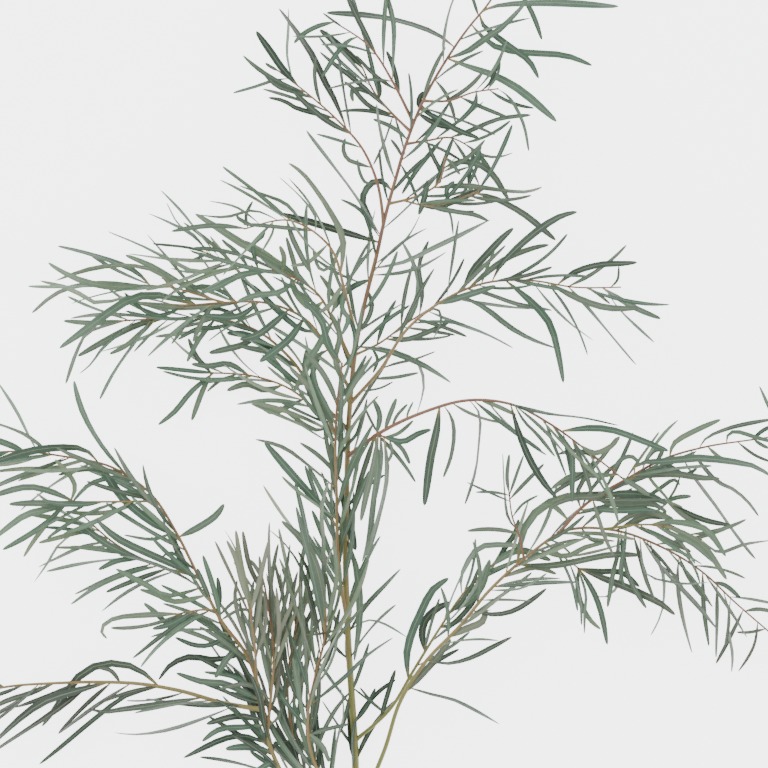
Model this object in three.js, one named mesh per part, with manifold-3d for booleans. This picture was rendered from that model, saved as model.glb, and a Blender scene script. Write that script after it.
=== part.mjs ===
// A cut branch of narrow-leaved eucalyptus, lying on a surface: millimetres, +Z up.
// A woody stem runs along +Y. Leafy shoots grow from it, and every leaf is fused to its own shoot.
import * as THREE from "three";
import Module from "manifold-3d";

const wasm = await Module();
wasm.setup();

// Driving dimensions
const STEM_BUTT_RADIUS = 4.2;
const STEM_TIP_RADIUS = 1.0;
const STEM_SIDES = 8;
const TWIG_SIDES = 4;
const TWIG_STEP = 44;
const SEAT_GAP = 0.3;
const LEAF_KEEL = 1.3;
const LEAF_WIDTH_RATIO = 0.075;
const LEAF_WIDTH_MAX = 8.5;
const LEAF_ROOT_SHARE = 0.24;
const LEAF_PEAK = 0.45;
const LEAF_TAPER = 2.2;
const LEAF_CLEARANCE = 2.8;
const TWIG_CLEARANCE = 1.9;
const ROOT_ZONE = 11;
const FLOOR_MARGIN = 1.2;
const FLOOR_SOFTNESS = 3;
const LEAF_TRIES = 36;
const MAX_ROLL = 1.2;
const SHORT_LEAF = 50;
const MORE_STEPS = 3;
const STATION_BUNCHING = 1.35;
const TANGENT_REACH = 0.04;
const KEEL_TAPER = 2.4;
const REST_SAG = 1.5;
const LEAF_SMOOTHING = 5;
const TWIG_SMOOTHING = 4;
const LEAF_ROUGHNESS = 0.6;
const STEM_COLOR = 0x8a6a3c;

// How freely a leaf may rise, bow and twist while it looks for a clear place
const RISE_SHARE = 0.3;
const RISE_GROWTH = 0.03;
const RISE_BIAS = 0.45;
const BOW_BIAS = 0.3;
const BOW_SHARE = 0.14;
const TWIST_RANGE = 0.8;
const FIRST_SEED = 1;
const SEED_STEP = 97;

// How a leaf's outline bends
const GENTLE_TURN = 0.7;
const TURN_STEP = 1.0;

// The main stem's route from the cut end to the tip; its first points lie on the surface
const STEM_REST_POINTS = 3;
const STEM_ROUTE = [
  [-27, -462, 0], [-26, -400, 0], [-25, -340, 0], [-24, -268, 8],
  [-26, -225, 12], [-30, -162, 20], [-32, -117, 26], [-33, -67, 32], [-32, -27, 37], [-31, 18, 42],
  [-29, 58, 46], [-24, 108, 50], [-15, 153, 53], [-5, 193, 55], [3, 229, 56], [13, 265, 57],
  [21, 292, 57], [34, 326, 56], [49, 355, 54], [66, 382, 52], [79, 400, 50], [94, 418, 47],
  [106, 436, 43], [118, 452, 39],
];

// A twig: radius at its root and tip, height in the middle and at the tip, and its route seen from above
function twig(radii, heights, ...route) {
  return { radii, heights, route };
}

// A leaf: the width it shows from above and its midrib seen from above, root first
function leaf(width, ...route) {
  return { width, route, rests: false };
}

// A leaf whose tip lies on the surface
function restingLeaf(width, ...route) {
  return { width, route, rests: true };
}

const STEM_LEAVES = [
  leaf(4.5, [66, 381], [48, 393], [20, 403], [-10, 409], [-50, 412]),
  leaf(3, [88, 409], [84, 418], [79, 432]),
  leaf(6, [90, 411], [100, 418], [125, 421], [165, 421], [213, 418]),
  leaf(6, [89, 410], [91, 401], [101, 392], [117, 380], [132, 369], [141, 353]),
  restingLeaf(6, [81, 400], [91, 390], [105, 381], [130, 377], [165, 375], [190, 366]),
  leaf(5.5, [62, 369], [78, 378], [93, 389], [108, 399], [130, 422]),
  leaf(7, [63, 368], [80, 362], [100, 355], [125, 341], [157, 314]),
  leaf(4.5, [110, 441], [126, 428], [137, 408], [144, 388]),
  leaf(4, [112, 444], [122, 452], [140, 458]),
  leaf(4, [117, 452], [112, 458], [104, 463]),
  leaf(3.5, [50, 351], [57, 340], [63, 326], [66, 313]),
  leaf(5, [44, 339], [36, 339], [33, 331], [37, 325], [45, 321]),
  leaf(5.5, [41, 323], [55, 314], [68, 306], [87, 299]),
  leaf(5, [36, 320], [48, 312], [64, 308]),
  leaf(4, [29, 296], [15, 305], [5, 311], [-8, 316]),
  leaf(3, [19, 281], [14, 290], [8, 298]),
  leaf(3, [19, 276], [26, 259], [33, 240]),
  leaf(6, [11, 252], [0, 260], [-9, 259], [-16, 250], [-17, 240], [-9, 226]),
  leaf(3, [-1, 208], [-19, 234], [-37, 244]),
  leaf(6.5, [-5, 205], [-30, 213], [-60, 222], [-92, 231]),
  leaf(4.5, [-8, 181], [20, 187], [45, 199], [72, 212], [98, 226]),
  leaf(3, [-9, 175], [15, 178], [35, 184], [58, 197]),
  leaf(5.5, [-10, 172], [-25, 166], [-36, 157], [-42, 146]),
  leaf(4.5, [-13, 163], [-9, 150], [-12, 138], [-19, 127]),
  leaf(5, [-22, 111], [0, 108], [15, 104], [38, 94], [62, 79]),
  leaf(8, [-32, -2], [-34, -20], [-30, -45], [-24, -72]),
  leaf(6, [-33, -60], [-24, -82], [-20, -110], [-20, -140], [-25, -172]),
  leaf(4, [-30, -148], [-14, -122], [2, -105], [17, -89]),
  leaf(3, [-29, -172], [-42, -160], [-50, -145], [-52, -128]),
  leaf(4, [-27, -200], [-33, -222], [-40, -240]),
  leaf(4, [-26, -228], [-14, -214], [-6, -197]),
];

// The leafy shoots, each on the stem or on the shoot that it names
const SHOOTS = [
  {
    name: "shoot_top_left",
    on: "main_stem",
    color: 0x6b8267,
    twigs: [
      twig([1.6, 0.7], [78, 72], [31, 311], [25, 318], [20, 328], [14, 341], [8, 352], [0, 362],
        [-6, 371], [-12, 382], [-20, 390], [-28, 398], [-43, 403]),
    ],
    leaves: [
      leaf(4.5, [-42, 403], [-58, 399], [-71, 392], [-79, 384]),
      leaf(5, [-6, 373], [-12, 386], [-19, 400], [-27, 417], [-35, 436]),
      leaf(4.5, [14, 338], [13, 352], [9, 366], [4, 377]),
      leaf(4, [9, 350], [11, 378], [11, 400], [7, 418], [2, 436]),
      leaf(3, [9, 350], [-8, 351], [-26, 348], [-48, 343]),
      leaf(4.5, [-20, 390], [-31, 385], [-41, 374], [-48, 363], [-54, 353]),
    ],
  },
  {
    name: "shoot_top_inner",
    on: "main_stem",
    color: 0x62795c,
    twigs: [
      twig([1.5, 0.8], [44, 38], [29, 303], [20, 312], [11, 320], [2, 328], [-5, 337], [-11, 349],
        [-18, 364]),
    ],
    leaves: [
      leaf(4.5, [6, 324], [-8, 338], [-28, 355], [-44, 367], [-56, 377]),
      leaf(6.5, [-18, 362], [-26, 372], [-39, 383], [-56, 397]),
      leaf(4.5, [10, 321], [-8, 326], [-18, 334], [-26, 344], [-34, 350]),
      leaf(4.5, [-4, 336], [-18, 343], [-27, 342], [-26, 332]),
      leaf(4, [-3, 334], [-2, 345], [-4, 352]),
      leaf(3, [-12, 350], [-27, 368], [-42, 384], [-50, 396]),
    ],
  },
  {
    name: "shoot_upper_left",
    on: "main_stem",
    color: 0x5f7659,
    twigs: [
      twig([1.6, 0.7], [64, 46], [1, 222], [1, 232], [-2, 248], [-5, 262], [-10, 275], [-18, 290],
        [-28, 301], [-38, 313], [-52, 326], [-68, 340], [-82, 352], [-95, 361]),
    ],
    leaves: [
      leaf(5.5, [-28, 301], [-46, 312], [-62, 324], [-80, 341]),
      leaf(6.5, [-76, 346], [-90, 362], [-101, 378], [-113, 395]),
      leaf(4.5, [-42, 317], [-60, 321], [-78, 326], [-88, 332], [-102, 335]),
      leaf(4.5, [-62, 335], [-80, 341], [-94, 346], [-107, 358]),
      leaf(3, [-84, 354], [-100, 350], [-115, 345], [-134, 340]),
      leaf(5.5, [-32, 306], [-42, 330], [-53, 351], [-63, 373], [-77, 394], [-93, 416]),
      leaf(3, [-94, 360], [-101, 364], [-105, 367]),
      leaf(4, [-9, 273], [-22, 276], [-31, 280], [-35, 289], [-33, 299]),
      leaf(3, [-5, 262], [-14, 258], [-20, 268], [-22, 280]),
    ],
  },
  {
    name: "shoot_top_right",
    on: "main_stem",
    color: 0x667d60,
    twigs: [
      twig([1.3, 0.7], [66, 72], [41, 330], [52, 331], [62, 333], [75, 337], [88, 342], [104, 343]),
    ],
    leaves: [
      leaf(2.8, [104, 343], [114, 336], [123, 322], [129, 306], [132, 287]),
      leaf(4.5, [85, 341], [84, 331], [77, 321], [67, 312]),
      leaf(3, [88, 342], [97, 348], [103, 362], [110, 379]),
    ],
  },
  {
    name: "shoot_right_curl",
    on: "main_stem",
    color: 0x5c735a,
    twigs: [
      twig([1.3, 0.7], [50, 44], [23, 294], [34, 295], [45, 298], [56, 300], [68, 298], [80, 291]),
    ],
    leaves: [
      leaf(4.5, [78, 292], [88, 283], [98, 271]),
      leaf(4.5, [55, 300], [45, 287], [32, 271], [18, 249]),
      leaf(4, [82, 291], [82, 282], [79, 270], [78, 257]),
      leaf(4.5, [62, 300], [78, 305], [105, 316], [134, 320]),
      leaf(4, [40, 296], [46, 282], [52, 270], [52, 258]),
    ],
  },
  {
    name: "shoot_right_fan",
    on: "main_stem",
    color: 0x5f775a,
    twigs: [
      twig([1.4, 0.8], [60, 72], [8, 240], [22, 243], [36, 249], [46, 253], [52, 261], [55, 271],
        [57, 283]),
      twig([1.0, 0.7], [64, 62], [20, 242], [40, 238], [62, 242], [86, 251]),
    ],
    leaves: [
      leaf(3.5, [57, 282], [63, 276], [70, 266]),
      leaf(6, [55, 272], [70, 278], [85, 276], [99, 267], [114, 243]),
      leaf(4.5, [46, 254], [75, 257], [105, 253], [128, 251], [144, 255]),
      leaf(4.5, [60, 242], [58, 252], [65, 260]),
      leaf(5.5, [37, 250], [40, 260], [38, 245], [33, 230]),
      leaf(6, [82, 250], [100, 245], [128, 230], [156, 207]),
      leaf(4.5, [42, 238], [65, 233], [83, 230], [96, 224]),
      leaf(6.5, [30, 240], [50, 238], [70, 245], [92, 254]),
      leaf(4, [86, 251], [98, 270], [108, 290], [117, 311]),
    ],
  },
  {
    name: "shoot_mid_right",
    on: "main_stem",
    color: 0x5e765b,
    twigs: [
      twig([1.8, 0.7], [76, 52], [-26, 60], [-10, 80], [5, 100], [20, 124], [34, 139], [50, 150],
        [72, 161], [90, 168], [110, 171], [132, 171], [152, 168], [172, 165], [190, 164],
        [215, 165]),
    ],
    leaves: [
      leaf(6, [158, 168], [172, 178], [195, 185], [215, 186], [229, 187]),
      leaf(6.5, [150, 168], [165, 160], [185, 151], [205, 146], [231, 146]),
      restingLeaf(5.5, [198, 164], [212, 156], [230, 146], [252, 137]),
      leaf(3, [184, 164], [194, 159], [205, 150]),
      leaf(7, [110, 170], [128, 156], [143, 142], [152, 128], [158, 105], [163, 79]),
      leaf(3, [168, 166], [182, 151], [205, 124], [229, 95]),
      leaf(4.5, [76, 162], [95, 158], [122, 149], [153, 144]),
      leaf(5, [66, 158], [90, 147], [115, 128], [135, 117], [155, 110]),
      leaf(6.5, [50, 149], [66, 154], [84, 160], [102, 166]),
      leaf(7, [72, 162], [82, 180], [95, 195], [108, 209], [118, 218]),
      leaf(6, [78, 164], [95, 178], [112, 191], [135, 200], [150, 203]),
      leaf(6.5, [98, 171], [107, 184], [122, 200], [142, 217], [160, 228], [175, 232]),
      leaf(4, [99, 171], [114, 172], [132, 176], [153, 183]),
      leaf(3, [88, 168], [95, 184], [101, 198]),
      leaf(3.5, [-8, 83], [12, 84], [33, 88]),
    ],
  },
  {
    name: "shoot_mid_low",
    on: "main_stem",
    color: 0x64795e,
    twigs: [
      twig([1.3, 0.7], [38, 42], [-24, 104], [-8, 111], [8, 122], [24, 134], [40, 144]),
    ],
    leaves: [
      leaf(5, [8, 121], [22, 134], [31, 155], [31, 178], [18, 206]),
      leaf(4, [34, 140], [36, 160], [33, 185], [42, 207]),
      leaf(5, [4, 119], [22, 118], [42, 125], [60, 133]),
      leaf(3, [18, 129], [40, 126], [66, 122]),
      leaf(3, [40, 144], [65, 133], [92, 123], [118, 110]),
      leaf(3, [-10, 110], [-4, 100], [-8, 88]),
    ],
  },
  {
    name: "shoot_arch",
    on: "main_stem",
    color: 0x5a7256,
    twigs: [
      twig([2.0, 0.8], [98, 84], [-29, 13], [-16, 28], [4, 37], [23, 47], [50, 57], [68, 62],
        [88, 64], [107, 62], [118, 59], [135, 52], [146, 46], [162, 33], [184, 18], [205, 3],
        [216, -7]),
      twig([1.2, 0.8], [64, 66], [-12, 31], [-6, 33], [2, 30], [10, 26]),
    ],
    leaves: [
      leaf(7.5, [52, 57], [49, 35], [43, 8], [38, -31]),
      leaf(3.5, [56, 58], [63, 47], [65, 32], [62, 12], [55, -6]),
      leaf(4.5, [78, 63], [87, 50], [86, 25], [83, 0], [74, -30]),
      leaf(4, [88, 64], [103, 58], [120, 50]),
      leaf(7, [116, 60], [122, 34], [132, 10], [144, -10], [156, -24]),
      leaf(3.2, [118, 59], [128, 44], [140, 32], [155, 13]),
      leaf(2.8, [112, 61], [148, 52], [182, 48], [212, 41]),
      leaf(7, [160, 34], [185, 38], [207, 36], [232, 27], [256, 18]),
      leaf(3, [146, 46], [155, 20], [165, -5]),
      leaf(5, [152, 42], [162, 28], [170, 14], [170, -12], [170, -28]),
      leaf(5, [176, 24], [190, 16], [205, 22], [213, 31]),
      leaf(4.5, [170, 28], [178, 10], [184, -6], [188, -22]),
      leaf(4.5, [190, 14], [186, 2], [176, -6], [162, -14], [152, -22]),
      leaf(4, [196, 9], [184, 16], [170, 18], [158, 15]),
      leaf(5.5, [212, -4], [192, -4], [172, -4], [152, -16]),
      leaf(5, [214, -6], [228, -14], [240, -22]),
      leaf(4, [208, 0], [214, 10], [224, 13], [231, 6]),
      leaf(5, [-6, 34], [-2, 50], [-8, 64]),
      leaf(4.5, [2, 37], [7, 50], [13, 65]),
      leaf(3, [8, 40], [14, 50], [23, 60]),
      leaf(5.5, [0, 29], [18, 26], [32, 33], [44, 37]),
      leaf(3.5, [2, 30], [14, 33], [28, 45]),
      leaf(4, [9, 27], [18, 20], [25, 6]),
      leaf(5.5, [-6, 33], [-4, 5], [-8, -25], [-12, -60], [-18, -82]),
      leaf(4.5, [2, 30], [4, 4], [2, -18], [-6, -50], [-14, -78]),
      leaf(5, [-8, 33], [-13, 10], [-20, -12], [-25, -34]),
      leaf(5.5, [-3, 32], [-9, 0], [-15, -25], [-19, -45]),
      leaf(3.5, [-12, 31], [-20, 12], [-24, -4], [-27, -20]),
      leaf(4, [-1, 31], [-1, 12], [-4, -12], [-10, -40]),
      leaf(3, [6, 28], [9, 17], [5, 7]),
    ],
  },
  {
    name: "shoot_right_inner",
    on: "main_stem",
    color: 0x617a58,
    twigs: [
      twig([1.9, 0.9], [34, 44], [-25, -244], [-8, -230], [6, -217], [23, -189], [43, -157],
        [57, -134], [72, -112], [90, -94], [106, -79]),
    ],
    leaves: [
      leaf(7.5, [24, -188], [22, -165], [27, -145], [36, -125], [45, -108], [60, -97]),
      leaf(7, [38, -164], [36, -148], [39, -135], [49, -125], [62, -119]),
      leaf(4.5, [-2, -224], [4, -205], [12, -180]),
      leaf(4.5, [72, -112], [72, -95], [80, -78], [89, -69], [106, -67], [128, -68]),
      leaf(6.5, [62, -126], [78, -118], [90, -104], [97, -80]),
      leaf(6.5, [98, -87], [108, -79], [121, -72], [135, -74], [152, -81]),
      leaf(5, [104, -81], [112, -68], [120, -56], [123, -44]),
      leaf(5, [52, -142], [64, -138], [78, -124], [88, -110]),
    ],
  },
  {
    name: "shoot_right_outer",
    on: "main_stem",
    color: 0x5b7455,
    twigs: [
      twig([2.3, 0.8], [62, 24], [-25, -332], [-16, -300], [-4, -268], [3, -250], [16, -209],
        [32, -180], [52, -160], [75, -134], [99, -105], [121, -85], [139, -70], [156, -56],
        [178, -53], [200, -52], [224, -58], [250, -68], [270, -78], [284, -88], [297, -98],
        [310, -110], [324, -125], [337, -139], [352, -148]),
      twig([1.2, 0.7], [66, 60], [200, -52], [216, -49], [234, -49], [252, -49], [270, -54],
        [287, -62]),
      twig([1.2, 0.7], [48, 42], [146, -64], [155, -71], [165, -79], [177, -88]),
    ],
    leaves: [
      leaf(5, [42, -171], [60, -174], [80, -169], [98, -160], [117, -150]),
      leaf(5, [82, -126], [100, -129], [118, -126], [135, -116], [148, -106]),
      leaf(3.2, [24, -196], [45, -202], [65, -207], [85, -217], [106, -229]),
      leaf(6.5, [22, -200], [36, -184], [50, -168], [62, -152]),
      leaf(7, [62, -150], [76, -142], [90, -136], [94, -124]),
      leaf(5, [110, -96], [125, -90], [140, -87], [157, -93]),
      leaf(6.5, [122, -84], [150, -86], [175, -82], [205, -76], [232, -76]),
      leaf(5, [140, -70], [165, -77], [182, -69], [200, -65]),
      leaf(4, [100, -104], [125, -102], [150, -100], [178, -100]),
      leaf(8, [122, -84], [128, -52], [142, -34], [162, -24], [190, -22], [222, -21]),
      leaf(5, [176, -88], [176, -105], [180, -122], [188, -135], [197, -143]),
      leaf(3, [176, -87], [183, -110], [182, -130], [182, -147]),
      leaf(5.5, [177, -88], [190, -108], [198, -130], [203, -157]),
      leaf(7, [177, -88], [200, -97], [225, -107], [250, -119], [264, -130]),
      leaf(5.5, [176, -88], [195, -91], [216, -92], [232, -105]),
      leaf(4.5, [212, -54], [212, -75], [208, -92], [203, -123]),
      leaf(4.5, [214, -55], [217, -76], [224, -100], [238, -124]),
      leaf(5, [226, -59], [232, -80], [238, -100], [245, -116]),
      leaf(4.5, [232, -62], [250, -85], [268, -104], [285, -122], [302, -143]),
      leaf(4.5, [236, -63], [252, -92], [252, -125], [242, -149]),
      leaf(5, [268, -77], [266, -100], [270, -128], [279, -164]),
      leaf(5, [288, -92], [289, -118], [291, -138], [294, -158]),
      leaf(3.5, [308, -108], [312, -128], [311, -145], [308, -160]),
      restingLeaf(4.5, [324, -126], [318, -143], [310, -160], [302, -175]),
      leaf(3.5, [337, -140], [336, -155], [330, -168], [321, -181]),
      leaf(4.5, [300, -100], [310, -104], [323, -115]),
      leaf(3, [286, -62], [303, -74], [325, -67], [350, -63]),
      leaf(5, [226, -50], [245, -57], [262, -65], [278, -73]),
      leaf(6, [252, -49], [272, -57], [290, -69], [301, -84], [310, -98]),
      leaf(6, [240, -49], [262, -46], [290, -52], [302, -66], [309, -77]),
      leaf(5, [244, -49], [262, -58], [280, -66], [300, -84]),
      leaf(6, [216, -49], [238, -41], [255, -43]),
      leaf(4, [326, -128], [340, -125], [356, -128]),
      leaf(3, [345, -144], [332, -146], [320, -146]),
      leaf(3.5, [350, -147], [362, -145], [376, -150]),
      leaf(3.5, [352, -148], [356, -160], [352, -174]),
      leaf(4, [178, -53], [188, -62], [200, -64]),
    ],
  },
  {
    name: "shoot_small_upright",
    on: "shoot_right_outer",
    color: 0x6a8062,
    twigs: [
      twig([1.1, 0.7], [78, 92], [128, -79], [124, -60], [118, -46], [115, -30], [114, -20]),
    ],
    leaves: [
      leaf(3.5, [114, -20], [112, -5], [114, 15]),
      leaf(2.8, [115, -22], [121, -2], [127, 14]),
    ],
  },
  {
    name: "shoot_right_spread",
    on: "shoot_right_outer",
    color: 0x58715a,
    twigs: [
      twig([1.6, 0.7], [72, 44], [156, -56], [170, -42], [187, -28], [205, -16], [216, -10],
        [230, -2], [246, 7], [260, 13], [284, 20], [307, 24], [334, 28], [352, 31], [370, 33]),
      twig([1.1, 0.7], [60, 56], [196, -22], [214, -24], [234, -26], [256, -28]),
    ],
    leaves: [
      leaf(5.5, [259, 13], [263, 25], [283, 37], [304, 46]),
      leaf(4, [284, 20], [292, 30], [310, 38], [330, 43], [354, 47]),
      leaf(4, [310, 24], [311, 32], [319, 35], [336, 30], [354, 25]),
      leaf(4, [332, 28], [344, 37], [358, 42]),
      leaf(6.5, [226, -4], [230, 6], [255, 8], [285, 11], [312, 8], [333, 4], [352, -7]),
      leaf(6.5, [218, -9], [240, -4], [265, -3], [285, -6], [303, -7]),
      leaf(4, [278, 18], [298, -8], [315, -17], [328, -28], [338, -41]),
      leaf(5.5, [256, -28], [272, -37], [292, -45], [313, -49]),
      leaf(4.5, [254, -28], [266, -24], [278, -23]),
      leaf(7.5, [200, -22], [218, -21], [238, -22], [256, -30]),
      leaf(6.5, [214, -24], [230, -33], [246, -38], [262, -44]),
      leaf(3, [320, 26], [335, 14], [352, 7]),
      leaf(3.5, [292, 21], [302, 13], [312, 8]),
      leaf(3.5, [370, 33], [360, 42], [350, 54], [340, 76]),
      leaf(3.5, [352, 31], [362, 22], [380, 18]),
      leaf(3.5, [369, 33], [376, 38], [386, 36]),
      leaf(4.5, [250, 9], [262, 2], [272, -4], [283, 2]),
      leaf(5, [246, 7], [252, 18], [244, 18], [236, 8]),
      leaf(4.5, [178, -35], [176, -20], [186, -2], [200, 14], [211, 30]),
      leaf(5.5, [168, -44], [152, -30], [140, -36], [126, -58]),
      leaf(4, [234, -26], [250, -16], [262, -8], [268, -13]),
      leaf(3, [240, -26], [252, -34], [256, -42]),
    ],
  },
  {
    name: "shoot_left_high",
    on: "main_stem",
    color: 0x64806a,
    twigs: [
      twig([1.7, 0.7], [90, 76], [-21, 118], [-28, 134], [-33, 160], [-37, 182], [-46, 200],
        [-58, 211], [-72, 220], [-88, 226], [-104, 226], [-124, 217]),
    ],
    leaves: [
      leaf(6, [-36, 178], [-36, 208], [-47, 232], [-60, 252], [-72, 267], [-84, 276]),
      leaf(4, [-80, 224], [-96, 236], [-116, 253], [-143, 273]),
      leaf(3.2, [-68, 218], [-85, 238], [-106, 248], [-128, 256]),
      leaf(5.5, [-86, 226], [-80, 208], [-72, 192], [-64, 178]),
      leaf(5, [-122, 218], [-145, 220], [-166, 219], [-189, 215]),
      leaf(3.2, [-120, 219], [-122, 230], [-116, 242]),
      leaf(4, [-116, 221], [-128, 226], [-130, 230]),
      leaf(4, [-50, 204], [-60, 192], [-68, 186], [-82, 184]),
      leaf(3.5, [-40, 188], [-52, 180], [-58, 184], [-62, 200]),
      leaf(5, [-34, 168], [-46, 150], [-56, 142]),
      leaf(5, [-33, 162], [-36, 146], [-30, 136], [-36, 122]),
    ],
  },
  {
    name: "shoot_left_broad",
    on: "main_stem",
    color: 0x5d7a5e,
    twigs: [
      twig([1.7, 0.7], [66, 58], [-26, 94], [-40, 126], [-54, 154], [-70, 169], [-90, 178],
        [-112, 181], [-130, 184], [-143, 190], [-158, 196]),
    ],
    leaves: [
      leaf(8, [-66, 166], [-92, 184], [-112, 196], [-128, 205], [-148, 218], [-168, 231]),
      leaf(4.5, [-112, 182], [-116, 202], [-107, 211], [-106, 217]),
      leaf(2.8, [-156, 196], [-175, 201], [-206, 204]),
      leaf(3.8, [-140, 189], [-158, 180], [-182, 170], [-212, 162]),
      leaf(3, [-156, 195], [-166, 191], [-174, 187]),
      leaf(3.2, [-130, 184], [-165, 179], [-190, 190], [-216, 203], [-246, 215]),
      leaf(6.5, [-100, 180], [-126, 176], [-146, 166], [-162, 160]),
      leaf(6, [-76, 172], [-92, 160], [-112, 158], [-130, 152]),
      leaf(7, [-54, 152], [-64, 146], [-76, 158], [-82, 172]),
      leaf(6.5, [-44, 134], [-52, 122], [-60, 108], [-70, 94]),
      leaf(5, [-90, 178], [-88, 192], [-92, 202]),
      leaf(5, [-62, 162], [-76, 176], [-80, 190], [-86, 210]),
      leaf(4, [-120, 182], [-130, 196], [-140, 204], [-144, 208]),
      leaf(4.5, [-47, 140], [-42, 152], [-50, 168], [-56, 176]),
      leaf(3, [-134, 186], [-152, 182], [-172, 178], [-190, 182]),
    ],
  },
  {
    name: "shoot_left_level",
    on: "main_stem",
    color: 0x557055,
    twigs: [
      twig([1.7, 0.8], [46, 36], [-28, 70], [-42, 98], [-58, 124], [-78, 143], [-105, 151],
        [-130, 152], [-155, 150], [-182, 148]),
      twig([1.2, 0.7], [56, 44], [-142, 151], [-165, 158], [-190, 165], [-214, 167]),
    ],
    leaves: [
      leaf(5.5, [-152, 154], [-176, 165], [-194, 176], [-208, 184], [-231, 194]),
      leaf(5, [-208, 167], [-222, 179], [-240, 187], [-265, 195], [-292, 202]),
      leaf(4.5, [-186, 164], [-202, 179], [-224, 185], [-252, 184], [-276, 178], [-294, 171]),
      leaf(6.5, [-196, 166], [-222, 165], [-246, 166], [-266, 170], [-285, 178], [-300, 187]),
      leaf(3, [-214, 167], [-250, 167], [-285, 166], [-319, 166]),
      leaf(5, [-214, 167], [-255, 169], [-280, 166], [-299, 157], [-316, 142]),
      leaf(3.5, [-182, 148], [-225, 158], [-255, 151], [-280, 164], [-308, 171]),
      leaf(8, [-168, 149], [-206, 158], [-232, 151], [-251, 138], [-270, 124], [-290, 110]),
      leaf(6, [-124, 152], [-160, 147], [-190, 147], [-222, 151]),
      leaf(7.5, [-70, 136], [-82, 120], [-96, 108], [-110, 98]),
      leaf(7, [-84, 146], [-98, 132], [-112, 122], [-128, 118]),
      leaf(6, [-112, 151], [-126, 140], [-140, 138], [-160, 140]),
      leaf(5.5, [-48, 108], [-62, 100], [-72, 84], [-80, 70]),
      leaf(6, [-58, 124], [-76, 128], [-94, 144], [-112, 162], [-126, 172]),
      leaf(4, [-178, 148], [-196, 140], [-212, 142], [-232, 160]),
      leaf(5, [-150, 150], [-160, 138], [-166, 126], [-170, 116]),
      leaf(4.5, [-130, 152], [-146, 162], [-164, 166], [-184, 158]),
    ],
  },
  {
    name: "shoot_left_long",
    on: "main_stem",
    color: 0x5b735b,
    twigs: [
      twig([1.8, 0.8], [24, 16], [-30, 36], [-44, 50], [-58, 66], [-73, 89], [-90, 109],
        [-105, 121], [-122, 130], [-150, 137], [-180, 138], [-206, 136], [-234, 135]),
    ],
    leaves: [
      restingLeaf(5, [-233, 135], [-260, 133], [-288, 135]),
      leaf(6.5, [-196, 137], [-222, 131], [-250, 117], [-275, 103]),
      leaf(5, [-204, 136], [-220, 122], [-232, 112], [-246, 105]),
      leaf(3.5, [-208, 136], [-222, 116], [-240, 90], [-254, 64]),
      leaf(3.5, [-232, 135], [-264, 126], [-276, 108], [-286, 78]),
      leaf(3, [-228, 135], [-252, 143], [-270, 150], [-284, 157]),
      leaf(3, [-222, 135], [-250, 112], [-262, 96], [-273, 87]),
      leaf(5, [-150, 137], [-164, 120], [-170, 110], [-176, 98]),
      leaf(6.5, [-110, 124], [-124, 114], [-138, 110], [-156, 106]),
      leaf(7, [-92, 111], [-104, 112], [-122, 122], [-140, 124]),
      leaf(6, [-76, 92], [-86, 98], [-100, 106], [-128, 112]),
      leaf(5, [-54, 60], [-66, 72], [-70, 92], [-68, 110]),
      leaf(5.5, [-66, 78], [-78, 80], [-92, 92], [-108, 104]),
      leaf(4, [-120, 129], [-134, 140], [-150, 146], [-166, 142]),
      leaf(4.5, [-134, 133], [-150, 128], [-166, 128], [-184, 118]),
      leaf(3.5, [-160, 138], [-176, 132], [-184, 122], [-190, 114]),
      leaf(3, [-40, 46], [-50, 44], [-66, 50], [-92, 62]),
      leaf(3, [-36, 42], [-52, 28], [-72, 40], [-118, 60]),
    ],
  },
  {
    name: "shoot_left_low",
    on: "main_stem",
    color: 0x59725a,
    twigs: [
      twig([1.5, 0.8], [16, 14], [-31, 14], [-46, 36], [-62, 58], [-86, 75], [-112, 84], [-135, 88],
        [-156, 88]),
    ],
    leaves: [
      leaf(4, [-150, 88], [-175, 90], [-204, 93]),
      leaf(5, [-152, 88], [-172, 71], [-187, 53], [-202, 41]),
      leaf(5, [-154, 88], [-162, 72], [-172, 45]),
      leaf(3, [-130, 87], [-146, 81], [-158, 71]),
      leaf(4.5, [-154, 88], [-167, 102], [-175, 119]),
      leaf(5.5, [-120, 86], [-138, 96], [-156, 94], [-172, 96]),
      leaf(6, [-90, 76], [-106, 72], [-122, 78], [-140, 72]),
      leaf(5, [-70, 64], [-84, 58], [-98, 52], [-112, 60]),
      leaf(5, [-58, 54], [-64, 70], [-62, 90], [-54, 108]),
      leaf(4, [-48, 40], [-58, 36], [-74, 44], [-92, 58]),
    ],
  },
  {
    name: "shoot_stem_side",
    on: "main_stem",
    color: 0x6a7f5e,
    twigs: [
      twig([1.9, 1.0], [58, 68], [-32, -136], [-37, -106], [-40, -64], [-41, -10], [-42, 30],
        [-40, 62], [-36, 96]),
    ],
    leaves: [
      leaf(7, [-40, -52], [-52, -34], [-70, -15], [-88, 5], [-106, 26]),
      leaf(3.2, [-41, -16], [-65, 3], [-88, 20], [-114, 28]),
      leaf(3, [-40, -44], [-62, -28], [-78, -16], [-90, -5]),
      leaf(4.5, [-42, 24], [-50, 40], [-62, 62], [-72, 86]),
      leaf(5, [-41, 40], [-50, 58], [-60, 78], [-62, 100]),
      leaf(5, [-38, 82], [-42, 100], [-38, 122], [-46, 142]),
      leaf(4.5, [-37, 92], [-26, 104], [-24, 122], [-30, 138]),
      leaf(6, [-36, 96], [-48, 112], [-54, 134], [-70, 152]),
      leaf(4, [-40, 60], [-28, 78], [-20, 92], [-14, 104]),
      leaf(3, [-42, 10], [-30, 24], [-22, 34], [-18, 52]),
    ],
  },
  {
    name: "shoot_far_left",
    on: "main_stem",
    color: 0x5f7656,
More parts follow.
